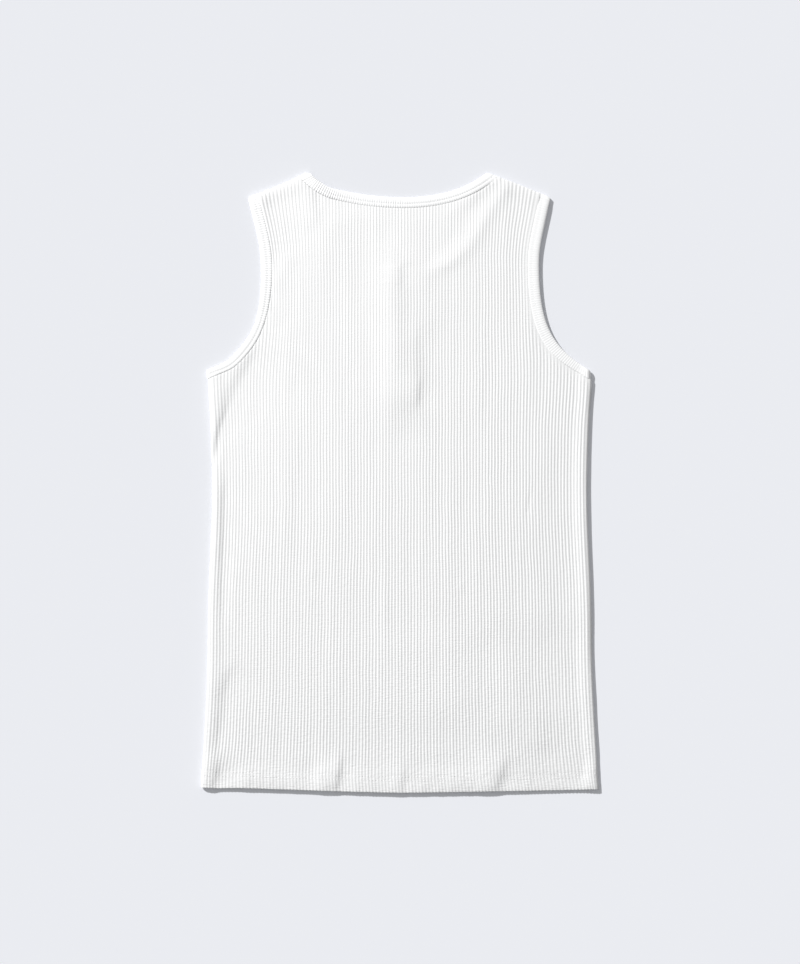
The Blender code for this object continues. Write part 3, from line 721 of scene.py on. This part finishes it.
def placketPrint(across, height):
    keys, rises = np.array(prints["placket"]).T
    shifts = prints["placketShifts"]
    rise = sum(np.interp(across + shift, keys, rises) for shift in shifts) / len(shifts)
    return rise * upTo(height, "placketTop") * risingFrom(height, "placketFoot")


def neckPrint(across, height):
    crest = np.array(prints["crest"])
    low = np.interp(across, crest[:, 0], crest[:, 1], left=999, right=999)
    away = distanceTo(crest, across, height) * np.where(height > low, -1, 1)
    right = smoothStep(across / 40)
    first, second = prints["hollowRuns"]
    sunk = prints["hollow"] * smoothStep(-away / (first + (second - first) * right))
    ridge = prints["ridge"] * np.exp(-(away / prints["ridgeWidth"]) ** 2) * right
    ridge = ridge * risingFrom(height, "ridgeFoot")
    swell = (across - prints["swellFrom"]) / (prints["swellTo"] - prints["swellFrom"])
    fade = (prints["swellEnd"] - across) / (prints["swellEnd"] - prints["swellTo"])
    swell = prints["swell"] * np.minimum(np.clip(swell, 0, 1) ** 1.3, smoothStep(fade))
    return ridge - sunk + swell * risingFrom(height, "swellFoot") * upTo(height, "swellTop")


def outerBase(across, height, edges):
    near = smoothStep(edges.neck / prints["seamReach"])
    sunk = levels["neckSag"] * overNeckHollow(across, height) * (1 - near)
    return (levels["backInside"] + levels["hemRise"] * inHem(across, height) - sunk
            + near * neckPrint(across, height) + placketPrint(across, height))


def backOuter(column, across, height, edges):
    inside = backInside(across, height)
    hem = inHem(across, height)
    toEdge = np.minimum(edges.side, edges.shoulder)
    wall = back["wall"] + (levels["hemWall"] - back["wall"]) * hem
    ridge = back["sideRidge"] * smoothStep((back["ridgeReach"] - toEdge) / back["ridgeFall"])
    ridge += back["rightRidge"] * (across > 0) * smoothStep(
        (back["rightReach"] - edges.side) / back["rightFall"])
    (cornerX, cornerY), (runX, runY) = back["cornerAt"], back["cornerRuns"]
    corner = smoothStep((across - cornerX) / runX) * smoothStep((cornerY - height) / runY)
    wall += ridge * (1 - back["cornerEase"] * corner)
    wall += creaseRelief(backCreases, across, height)
    wall += creaseRelief(hemCreases, across, height) * (0.5 + 0.5 * smoothStep(edges.hem / 9))
    wall += nearness(edges.hem - 16.5, 3) * back["hemWaves"] * softNoise(across, height, "hem")
    wall += back["waveHeight"] * (softNoise(across, height, "waveLong")
                                  + 0.7 * softNoise(across, height, "waveWide"))
    thin, soft = back["leastWall"]
    wall = thin + soft * np.logaddexp(0, (wall - thin) / soft)
    base, sideways, downwards, least, most = back["ribDepths"]
    share = base + sideways * across - downwards * (height - body["length"] / 2)
    depth = back["ribHeight"] * np.clip(share, least, most)
    depth *= 1 - back["hemFlat"] * nearness(edges.hem - back["hemTop"], 4)
    depth *= 1 - back["hemEase"] * nearness(edges.hem - back["hemEaseTop"], 14)
    strap = np.minimum(1, np.abs(column) / body["strapColumn"]) ** 5 * (across < 0)
    depth *= 1 + back["strapDepth"] * strap * smoothStep((height - back["strapFrom"]) / 60)
    nearArm = nearness(edges.arm, back["armFadeReach"]) * smoothStep(across / 60)
    depth *= 1 - back["armFade"] * nearArm
    wall += back["armRise"] * nearArm
    depth *= 1 + back["ribUneven"] * softNoise(across, height, "ribLong")
    depth *= 1 + 0.5 * back["ribUneven"] * softNoise(across, height, "ribShort")
    wall += depth * np.abs(np.sin(np.pi * column / 2)) ** back["ribRound"]
    for line in coverstitch["heights"]:
        wall -= back["stitchGroove"] * np.exp(-((edges.hem - line) / 0.9) ** 2)
    nearest = np.minimum(edges.arm, edges.neck)
    left, right = back["neckDip"]
    neckDip = left + (right - left) * smoothStep((across + 70) / 90)
    dip = np.where(edges.neck < edges.arm, neckDip, np.where(across < 0, *back["armDip"]))
    wall -= dip * nearness(nearest, back["seamDipWidth"])
    dropAt, drops, reaches = np.array(back["rightDrop"]).T
    deep = np.where(across < 0, back["sideFall"], np.interp(height, dropAt, drops))
    reach = np.where(across < 0, back["sideFallReach"], np.interp(height, dropAt, reaches))
    power, bend = back["fallPower"], back["turnPower"]
    fall = deep * falling(edges.side, reach, power)
    hemFall = back["hemFall"][0] + back["hemFall"][1] * smoothStep((across + 40) / 100)
    fall += hemFall * falling(edges.hem, back["hemFallReach"], power)
    fallUp = falling(edges.shoulder, back["sideFallReach"], power)
    fallUp *= np.where(across < 0, *back["shoulderFall"])
    level = outerBase(across, height, edges) + wall - fall - fallUp
    foot = inside + back["leastFoot"]
    level = foot + (level - foot) * roll(edges.hem, back["hemTurn"], bend)
    seamEnd = 2.2 * nearness(nearest, 3)   # the cloth stays up beside a binding
    turn = np.minimum(roll(edges.side, back["edgeTurn"], bend),
                      roll(edges.shoulder + seamEnd, back["edgeTurn"], bend))
    return back["edgeLevel"] + (level - back["edgeLevel"]) * turn


def backUnder(across, height, edges):
    # the inside turns down with the side and shoulder edges
    drop = falling(np.minimum(edges.side, edges.shoulder), back["edgeReach"], 1.3)
    inside = backInside(across, height)
    return inside + (back["underLevel"] - inside) * drop


def spread(column, across, height, edges):
    # the hem and the sides lie a little further out
    out = np.where(column > 0, back["sideOut"][1], -back["sideOut"][0])
    return (across + out * nearness(edges.side, 60),
            height - back["hemOut"] * nearness(edges.hem, 40))


def makeBack():
    obj = panelMesh("backPanel", panelRows, 3)
    spots = readPoints(obj.data)
    column, row = spots[:, 0], np.rint(spots[:, 1]).astype(int)
    height = rowHeight(column, row, backSeams, panelRows)
    across = columnAcross(column, height)
    edges = edgesAt(column, across, height, backSeams)
    outer = spots[:, 2] > 0.5
    across = strayed(across, height, edges)
    crest = np.abs(np.sin(np.pi * column / 2)) * nearness(edges.hem, 2)
    level = np.where(outer, backOuter(column, across, height, edges),
                     backUnder(across, height, edges))
    inX, inY = drawnIn(across, height, edges, back["edgeWall"], back["edgeReach"])
    across, height = np.where(outer, across, inX), np.where(outer, height, inY)
    height = height - np.where(outer, back["scallop"] * crest, 0)
    across, height = spread(column, across, height, edges)
    writePoints(obj.data, placed(across, height, level), column / 2, height / body["ribPitch"])
    sharpen(obj.data, outer & (np.minimum(edges.arm, edges.neck) < 0.1))
    return obj


backPanel = makeBack()
print("back panel:", len(backPanel.data.polygons), "faces")


# front panel, plain inside, its ribs pressed flat against the table

front = {
    "ribDepth": 0.22, "edgeIn": 2.7, "edgeInReach": 12.0, "edgeRound": 2.2, "edgeDrop": 0.5,
    "slotMargin": 0.3,
    "slot": {"columns": (-6.08, 10.8), "foot": 404.7},
    "foldTop": 17.0, "stitchLevel": 0.16,
}
frontRows = {
    "hem": (0.0, 0.5, 1.4, 4.0, 9.0, 12.7, 16.9, 17.2, 24.7),
    "step": 10.0, "bodyTop": 434.7, "chest": 12, "yoke": 10, "edge": (3.0, 1.2, 0.0),
}


def makeFront():
    obj = panelMesh("frontPanel", frontRows, 1, bothSides=True, slot=front["slot"])
    spots = readPoints(obj.data)
    column, row = spots[:, 0], np.rint(spots[:, 1]).astype(int)
    height = rowHeight(column, row, frontSeams, frontRows)
    across = columnAcross(column, height)
    half = placket["width"] / 2 + front["slotMargin"]
    for edge, way in zip(front["slot"]["columns"], (-1, 1)):
        onSlot = (np.abs(column - edge) < 1e-3) & (height > front["slot"]["foot"] - 0.1)
        across = np.where(onSlot, body["middle"] + way * half, across)
    edges = edgesAt(column, across, height, frontSeams)
    rib = front["ribDepth"] * (1 - np.abs(np.sin(np.pi * column / 2)))
    toEdge = np.minimum(np.minimum(edges.side, edges.shoulder), edges.hem)
    drop = front["edgeDrop"] * (1 - roll(toEdge, front["edgeRound"]))
    inHemFold = edges.hem < front["foldTop"]
    top = np.where(inHemFold, levels["hemWall"], levels["frontWall"]) - rib - drop
    level = np.where(spots[:, 2] > 0.5, top, rib + 0.5 * drop)
    across, height = drawnIn(across, height, edges, front["edgeIn"], front["edgeInReach"])
    writePoints(obj.data, placed(across, height, level), column / 2, height / body["ribPitch"])
    return obj


frontPanel = makeFront()
print("front panel:", len(frontPanel.data.polygons), "faces")


# bindings: one strip each, turned over the shoulders and underarms

binding = {
    "step": 0.62,
    "foldStart": 3.0, "foldAngles": (80, 64, 48, 32, 16, 0, -16, -32, -48, -64, -80),
    "turnReach": 13.0,            # the section turns to the shoulder's way over this
    "thinReach": 11.0,            # and thins down to the fold
    "underarmWalls": (1.45, 3.0),  # left and right; the right one bulges where its ends are sewn
    "crossPitch": 2.5, "crossRise": 0.22,
    "rightCross": 0.35, "neckCross": 1.3,     # on the right armhole, and by the left neck point
    "waveRise": 0.08,
    "stitchAt": 0.61, "stitchDepths": {"neck": 0.93, "left": 0.87, "right": 0.98},
    "lowerIn": 1.0,               # the front half stands back from the free edge
}
# share of the width from the free edge, and share of the thickness
bindingSection = np.array((
    (0.0, 0.34), (0.012, 0.46), (0.04, 0.58), (0.085, 0.71), (0.145, 0.82), (0.23, 0.91),
    (0.34, 0.97), (0.45, 1.01), (0.53, 0.995), (0.585, 0.91), (0.635, 0.885), (0.69, 0.945),
    (0.76, 0.995), (0.83, 0.985), (0.89, 0.95), (0.94, 0.90), (0.975, 0.85), (1.005, 0.79),
    (1.045, 0.60), (1.03, 0.0), (0.5, 0.0), (0.10, 0.0), (0.035, 0.08), (0.01, 0.22),
))
# both armholes' bindings slope down to the right a little, and the right one's edges are full
leftSection = {0.145: 0.87, 0.23: 1.0, 0.34: 1.06, 0.45: 1.04, 0.53: 0.97, 0.585: 0.92,
               0.635: 0.895, 0.69: 0.915, 0.76: 0.94, 0.83: 0.94, 0.89: 0.92, 0.94: 0.88,
               0.975: 0.84}
rightSection = {0.0: 0.40, 0.012: 0.56, 0.04: 0.71, 0.085: 0.84, 0.145: 0.95, 0.23: 1.03,
                0.34: 1.06, 0.45: 1.05, 0.53: 1.03, 0.585: 1.0, 0.635: 0.98, 0.69: 0.97,
                0.76: 0.965, 0.83: 0.955, 0.89: 0.94, 0.94: 0.93, 0.975: 0.91, 1.005: 0.88,
                1.045: 0.81}
Station = namedtuple("Station", "free seam level normal wall")


def reachAlong(way, width, along):
    # how far a strip of this width reaches along a slanting end
    return width / abs(way[0] * along[1] - way[1] * along[0])


def setIn(free, seam, by):
    return free + (seam - free) / np.linalg.norm(seam - free) * by


def layer(free, seam, level, wall, thin, end, endWay, outward, up):
    # sections of one flat layer; near its end they turn to the end's slant and thin down
    found = []
    for i in range(len(free)):
        away = (end - free[i]) @ outward
        if away < binding["foldStart"] + 0.4:
            continue
        turned, thinned = (smoothStep((binding[reach] - away) / (binding[reach] - binding["foldStart"]))
                           for reach in ("turnReach", "thinReach"))
        seamAt = seam[i] + (free[i] + endWay * 1.03 - seam[i]) * turned
        freeAt = setIn(free[i], seamAt, binding["lowerIn"] * (up < 0))
        found.append(Station(freeAt, seamAt, level[i], (0.0, 0.0, up),
                             wall + (thin - wall) * thinned))
    return found


def fold(end, endWays, ways, outward, low, high, bottomWall, topWall=None):
    # sections that carry a strip over an edge, from the upper layer to the lower one
    found = []
    topWall = topWall or bottomWall
    for angle in binding["foldAngles"]:
        share = (90 - angle) / 180
        wall = topWall + (bottomWall - topWall) * float(smoothStep(share * 1.6))
        way = ways[0] + (ways[1] - ways[0]) * share
        endWay = endWays[0] + (endWays[1] - endWays[0]) * share
        out = way * math.cos(math.radians(angle)) / (way @ outward)
        up = math.sin(math.radians(angle))
        free = end - way * (wall / (way @ outward))
        freeAt = setIn(free, free + endWay, binding["lowerIn"] * smoothStep(share * 1.4 - 0.2))
        found.append(Station(freeAt, free + endWay, (low + high) / 2 + up * (high - low) / 2,
                             (out[0], out[1], up), wall))
    return found


def bandPoints(stations, shares, depths):
    # points at given shares of each section's width and thickness, and how far along each lies
    free, seam, level, normal, wall = (np.array(v, float) for v in zip(*stations))
    middle = np.column_stack([(free + seam) / 2, level])
    run = np.append(0, np.cumsum(np.linalg.norm(np.diff(middle, axis=0), axis=1)))
    flat = free[:, None] + (seam - free)[:, None] * shares[None, :, None]
    base = np.concatenate([flat, np.broadcast_to(level[:, None, None], flat.shape[:2] + (1,))], 2)
    return base, normal[:, None], wall[:, None] * depths[None], run


def bandMesh(name, stations, ring, changed, cross):
    # a closed band; changed gives other depths in its section, cross the height of its ticks
    shares, depths = bindingSection.T
    depths = np.array([changed.get(s, d) if d > 0.3 else d for s, d in zip(shares, depths)])
    shares, depths = np.append(shares, shares[0]), np.append(depths, depths[0])
    stations = stations + stations[:1] if ring else stations
    base, normal, thick, run = bandPoints(stations, shares, depths)
    pitch = run[-1] / round(run[-1] / binding["crossPitch"])
    raised = depths > 0.25
    rib = np.cos(2 * np.pi * run / pitch)[:, None] * raised * binding["crossRise"]
    rib *= cross(base[:, 0, 0], base[:, 0, 1])[:, None]
    rib *= (0.6 + 0.4 * softNoise(run, run * 0, "bandRib"))[:, None]
    wave = softNoise(run, run * 0, "bandWave")
    if ring:
        wave = wave * smoothStep(run / 20) * smoothStep((run[-1] - run) / 20)
    thick = thick + rib + (wave * binding["waveRise"])[:, None] * (depths > 0.8)
    points = base + normal * thick[:, :, None]
    points[..., 2] = np.maximum(points[..., 2], 0)   # pressed flat on the table

    obj = toMesh(countedGrid(len(stations) - 1, len(shares) - 1), name)
    spots = np.rint(readPoints(obj.data)).astype(int)
    at = points[spots[:, 0], spots[:, 1]]
    width = neck["binding"] / body["ribPitch"]
    writePoints(obj.data, placed(*at.T), run[spots[:, 0]] / body["ribPitch"],
                shares[spots[:, 1]] * width)
    closeUp(obj.data)
    return obj


def armholeStations(side):
    step, turn = binding["step"], np.array((side, 1.0))
    upper = evenShares(armUpper, step)[1:-1][::-1]
    lower = evenShares(armLower, step)[:-1]
    free = np.vstack([bezier(armUpper, upper)[0], bezier(armLower, lower)[0]])
    seam = np.vstack([beside(armUpper, upper, armhole["binding"], 1),
                      beside(armLower, lower, armInset(lower, side), -1)])
    tip, under = np.array(armhole["tip"]), np.array(armLower[3])
    outward, aside = np.array((-shoulderWay[1], shoulderWay[0])), np.array((1.0, 0.0))
    tipWay, underWay = bezier(armUpper, 1.0)[1][0], bezier(armLower, 1.0)[1][0]
    tipEnd = -shoulderWay * reachAlong(tipWay, armhole["binding"], shoulderWay)
    underEnd = np.array((0.0, -armhole["bindingUnderarm"] / abs(underWay[0])))
    half = len(upper)
    high, low = levels["upperBinding"], levels["lowerArmWall"]
    wall, thin = levels["bindingWall"], levels["lowerArmWall"]
    bulge = binding["underarmWalls"][side > 0]

    def arc(level, thick, up):
        height = np.full(len(free), level)
        top = layer(free[:half], seam[:half], height[:half], thick, thin, tip, tipEnd, outward, up)
        last = bulge if up > 0 else thin
        rest = layer(free[half:], seam[half:], height[half:], thick, last, under, underEnd,
                     aside, up)
        return top + rest

    stations = arc(high, wall, 1.0)
    stations += fold(under, (underEnd, underEnd), (underWay, underWay), aside, low, high, thin,
                     bulge)
    stations += arc(low, thin, -1.0)[::-1]
    stations += fold(tip, (tipEnd, tipEnd), (tipWay, tipWay), outward, low, high, thin)[::-1]
    return [Station(s.free * turn, s.seam * turn, s.level,
                    (side * s.normal[0], s.normal[1], s.normal[2]), s.wall) for s in stations]


def neckHalf(backCurve, frontCurve, side):
    step, width = binding["step"], neck["binding"]
    along = np.array((side * shoulderWay[0], shoulderWay[1]))
    outward = np.array((-side * shoulderWay[1], shoulderWay[0]))
    point = np.array((side * neck["point"], body["length"]))
    ways = [bezier(curve, 1.0)[1][0] for curve in (backCurve, frontCurve)]
    ends = [along * reachAlong(way, width, along) for way in ways]
    t = evenShares(backCurve, step)[:-1]
    free, seam = bezier(backCurve, t)[0], beside(backCurve, t, width, -side)
    away = np.linalg.norm(free - point, axis=1)
    sunk = levels["bindingSag"] * smoothStep((away - levels["sagStart"]) / levels["sagRun"])
    thin = levels["lowerNeckWall"]
    found = layer(free, seam, levels["upperBinding"] - sunk, levels["bindingWall"], thin,
                  point, ends[0], outward, 1.0)
    found += fold(point, ends, ways, outward, thin, levels["upperBinding"], thin)
    t = evenShares(frontCurve, step)[1:-1][::-1]
    free, seam = bezier(frontCurve, t)[0], beside(frontCurve, t, width, -side)
    found += layer(free, seam, np.full(len(t), thin), thin, thin, point, ends[1], outward, -1.0)
    end = np.array((body["middle"] + side * placket["gap"] / 2, frontCurve[0][1]))
    foot = end - np.array((0.0, width))
    found.append(Station(setIn(end, foot, binding["lowerIn"]), foot, thin, (0.0, 0.0, -1.0), thin))
    return found


armStations = {side: armholeStations(side) for side in (-1, 1)}
neckStations = (neckHalf(neck["back"].right, neck["front"].right, 1)[::-1]
                + neckHalf(neck["back"].left, neck["front"].left, -1)[1:])
neckBinding = bandMesh("neckBinding", neckStations, False, {}, lambda across, height:
                       1 + binding["neckCross"] * smoothStep((-55 - across) / 20))
leftArmBinding = bandMesh("leftArmBinding", armStations[-1], True, leftSection,
                          lambda across, height: 1 + 0 * across)
rightArmBinding = bandMesh("rightArmBinding", armStations[1], True, rightSection,
                           lambda across, height: binding["rightCross"] + (
                               1 - binding["rightCross"]) * smoothStep((515 - height) / 45))
print("bindings:", [len(o.data.polygons) for o in (neckBinding, leftArmBinding, rightArmBinding)])


# placket strips, hidden between the panels

strip = {"edge": (0.0, 0.25, 0.8, 1.5, 1.9, 2.3, 4.0, 9.0), "rows": 40, "stitchIn": 1.9,
         "groove": 0.12, "round": 0.8}


def makeStrip(name, level):
    edge = list(strip["edge"])
    ways = np.array(edge + [placket["width"] / 2] + [placket["width"] - e for e in edge[::-1]])
    bm = countedGrid(len(ways) - 1, strip["rows"])
    thicken(bm)
    obj = toMesh(bm, name)
    spots = readPoints(obj.data)
    top = neck["front"].right[0][1] - neck["binding"] - placket["gap"]
    bottom = placket["bottom"] + placket["gap"]
    across = ways[np.rint(spots[:, 0]).astype(int)]
    run = spots[:, 1] / strip["rows"] * (top - bottom)
    inward = np.minimum(np.minimum(across, placket["width"] - across),
                        np.minimum(run, top - bottom - run))
    drop = 0.4 * placket["strip"] * (1 - roll(inward, strip["round"]))
    drop = drop + strip["groove"] * np.exp(-((inward - strip["stitchIn"]) / 0.4) ** 2)
    z = np.where(spots[:, 2] > 0.5, level + placket["strip"] - drop, level + drop)
    x = across + body["middle"] - placket["width"] / 2
    writePoints(obj.data, placed(x, bottom + run, z), across / body["ribPitch"],
                run / body["ribPitch"])
    return obj


upperStrip = makeStrip("upperStrip", 0.0)
underStrip = makeStrip("underStrip", placket["strip"] + placket["gap"])
print("placket strips ready")


# stitches

bandStitch = {"length": 1.9, "pitch": 2.6, "width": 0.4, "rise": 0.06}


def addStitch(bm, centre, way, normal, size):
    z, x = Vector(normal).normalized(), Vector(way).normalized()
    turn = Matrix((x, z.cross(x), z)).transposed().to_4x4()
    shape = Matrix.Diagonal((size["length"] / 2, size["width"] / 2, size["rise"], 1)) * mm
    shape[3][3] = 1
    spot = Matrix.Translation(Vector(centre))
    bmesh.ops.create_uvsphere(bm, u_segments=8, v_segments=5, radius=1.0,
                              matrix=spot @ turn @ shape)


def makeHemStitches(name, surface):
    # two rows of stitches across a hem, on the surface that a function gives
    bm = bmesh.new()
    half = body["sections"][0].left - 4
    for k, line in enumerate(coverstitch["heights"]):
        across = np.arange(-half + 1.4 * k, half, coverstitch["pitch"])
        height = hemHeight(across) + line
        left, spot, right = (np.array(surface(across + shift, height)) for shift in (-0.8, 0, 0.8))
        spot = (left + 2 * spot + right) / 4
        for centre, slope in zip(placed(*spot), (right[2] - left[2]) / (right[0] - left[0])):
            addStitch(bm, centre, (1, coverstitch["lean"], slope), (-slope, 0, 1), coverstitch)
    return toMesh(bm, name)


def backSurface(across, height):
    column = across / halfWidth(across, height) * ribColumns
    edges = edgesAt(column, across, height, backSeams)
    across = strayed(across, height, edges)
    level = backOuter(column, across, height, edges)
    return (*spread(column, across, height, edges), level)


def frontSurface(across, height):
    return across, height, np.full(len(across), front["stitchLevel"])


def makeBandStitches(name, stations, which):
    bm = bmesh.new()
    base, normal, thick, run = bandPoints(stations, np.array([binding["stitchAt"]]),
                                          np.array([binding["stitchDepths"][which]]))
    points = (base + normal * thick[:, :, None])[:, 0]
    for spot in np.arange(2.0, run[-1] - 2, bandStitch["pitch"]):
        centre = [np.interp(spot, run, points[:, k]) for k in range(3)]
        ahead = [np.interp(spot + 0.5, run, points[:, k]) for k in range(3)]
        way = np.subtract(ahead, centre)
        up = [np.interp(spot, run, normal[:, 0, k]) for k in range(3)]
        if abs(up[2]) > 0.95 and np.linalg.norm(way) > 0.1:
            middle = placed(*(np.array([c]) for c in centre))[0]
            addStitch(bm, middle, way, up, bandStitch)
    return toMesh(bm, name)


hemStitches = makeHemStitches("hemStitches", backSurface)
frontHemStitches = makeHemStitches("frontHemStitches", frontSurface)
neckStitches = makeBandStitches("neckStitches", neckStations, "neck")
leftArmStitches = makeBandStitches("leftArmStitches", armStations[-1], "left")
rightArmStitches = makeBandStitches("rightArmStitches", armStations[1], "right")
print("stitches ready")


# materials, nodes and cloth

Piece = namedtuple("Piece", "obj slot flat area below sewn", defaults=((),))
cloths = {"rib_knit": ribCloth, "binding": bindingCloth}
pieces = {
    "back": Piece(backPanel, "rib_knit", (0.426, 0.664), 0.236, "frontPanel", (hemStitches,)),
    "front": Piece(frontPanel, "rib_knit", (0.426, 0.664), 0.225, "floor", (frontHemStitches,)),
    "neck_binding": Piece(neckBinding, "binding", (0.0109, 0.50), None, "floor",
                          (neckStitches,)),
    "armhole_binding_left": Piece(leftArmBinding, "binding", (0.0112, 0.42), None, "floor",
                                  (leftArmStitches,)),
    "armhole_binding_right": Piece(rightArmBinding, "binding", (0.0112, 0.42), None, "floor",
                                   (rightArmStitches,)),
    "placket_upper": Piece(upperStrip, "binding", (0.028, 0.153), None, "floor"),
    "placket_under": Piece(underStrip, "binding", (0.028, 0.153), None, "upperStrip"),
}
for node, (obj, slotName, flat, area, below, sewn) in pieces.items():
    obj.data.materials.append(cloths[slotName])
    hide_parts(node)
    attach(obj, "root")
    for threads in sewn:
        threads.data.materials.append(thread)
        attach(threads, "root")
print("pieces placed")


# floor, light and camera

stage = {
    "frame": (800, 964), "scale": 1.07,       # image size, and mm to one of its points
    "centre": (0.9, -0.3), "distance": 5000.0,
    "floor": (0.851, 0.862, 0.900),
    "keyFrom": (-1.0, 1.0), "keyRise": 26.0, "keyAngle": 1.5, "keyPower": 4.24,
    "fill": 0.386, "fillColour": (0.98, 0.99, 1.0),
    "near": (-660.0, 560.0, 800.0), "nearSize": 400.0, "nearPower": 4.4,
}


def addObject(name, data, place, aimed=True):
    # a lamp looks at the middle of the garment
    obj = bpy.data.objects.new(name, data)
    obj.location = place
    if aimed:
        obj.rotation_euler = obj.location.to_track_quat("Z", "Y").to_euler()
    bpy.context.scene.collection.objects.link(obj)
    return obj


def addStage():
    bm = bmesh.new()
    bmesh.ops.create_grid(bm, x_segments=1, y_segments=1, size=30.0)
    floor = toMesh(bm, "floor")
    floor.location.z = -0.05 * mm
    floor.data.materials.append(newMaterial("paleFloor", stage["floor"], 0.9, 0.0)[0])

    world = bpy.data.worlds.new("softFill")
    world.use_nodes = True
    fill = world.node_tree.nodes["Background"].inputs
    fill["Color"].default_value = (*stage["fillColour"], 1)
    fill["Strength"].default_value = stage["fill"]
    bpy.context.scene.world = world

    lamp = bpy.data.lights.new("key", "SUN")
    lamp.angle = math.radians(stage["keyAngle"])
    lamp.energy = stage["keyPower"]
    rise = math.radians(stage["keyRise"])
    side = Vector((*stage["keyFrom"], 0)).normalized() * math.cos(rise)
    addObject("key", lamp, Vector((side.x, side.y, math.sin(rise))))

    # a near soft lamp that only the garment sees, so that the floor stays even
    soft = bpy.data.lights.new("near", "AREA")
    soft.size = stage["nearSize"] * mm
    soft.energy = stage["nearPower"]
    near = addObject("near", soft, Vector(stage["near"]) * mm)
    garment = bpy.data.collections.new("garment")
    for piece in pieces.values():
        for part in (piece.obj, *piece.sewn):
            garment.objects.link(part)
    near.light_linking.receiver_collection = garment

    lens = bpy.data.cameras.new("camera")
    tall = stage["frame"][1] * stage["scale"]
    lens.lens = lens.sensor_width * stage["distance"] / tall
    lens.clip_end = 100
    centre = Vector((*stage["centre"], stage["distance"])) * mm
    bpy.context.scene.camera = addObject("camera", lens, centre, aimed=False)
    bpy.context.scene.view_settings.view_transform = "Standard"


addStage()
print("stage ready")
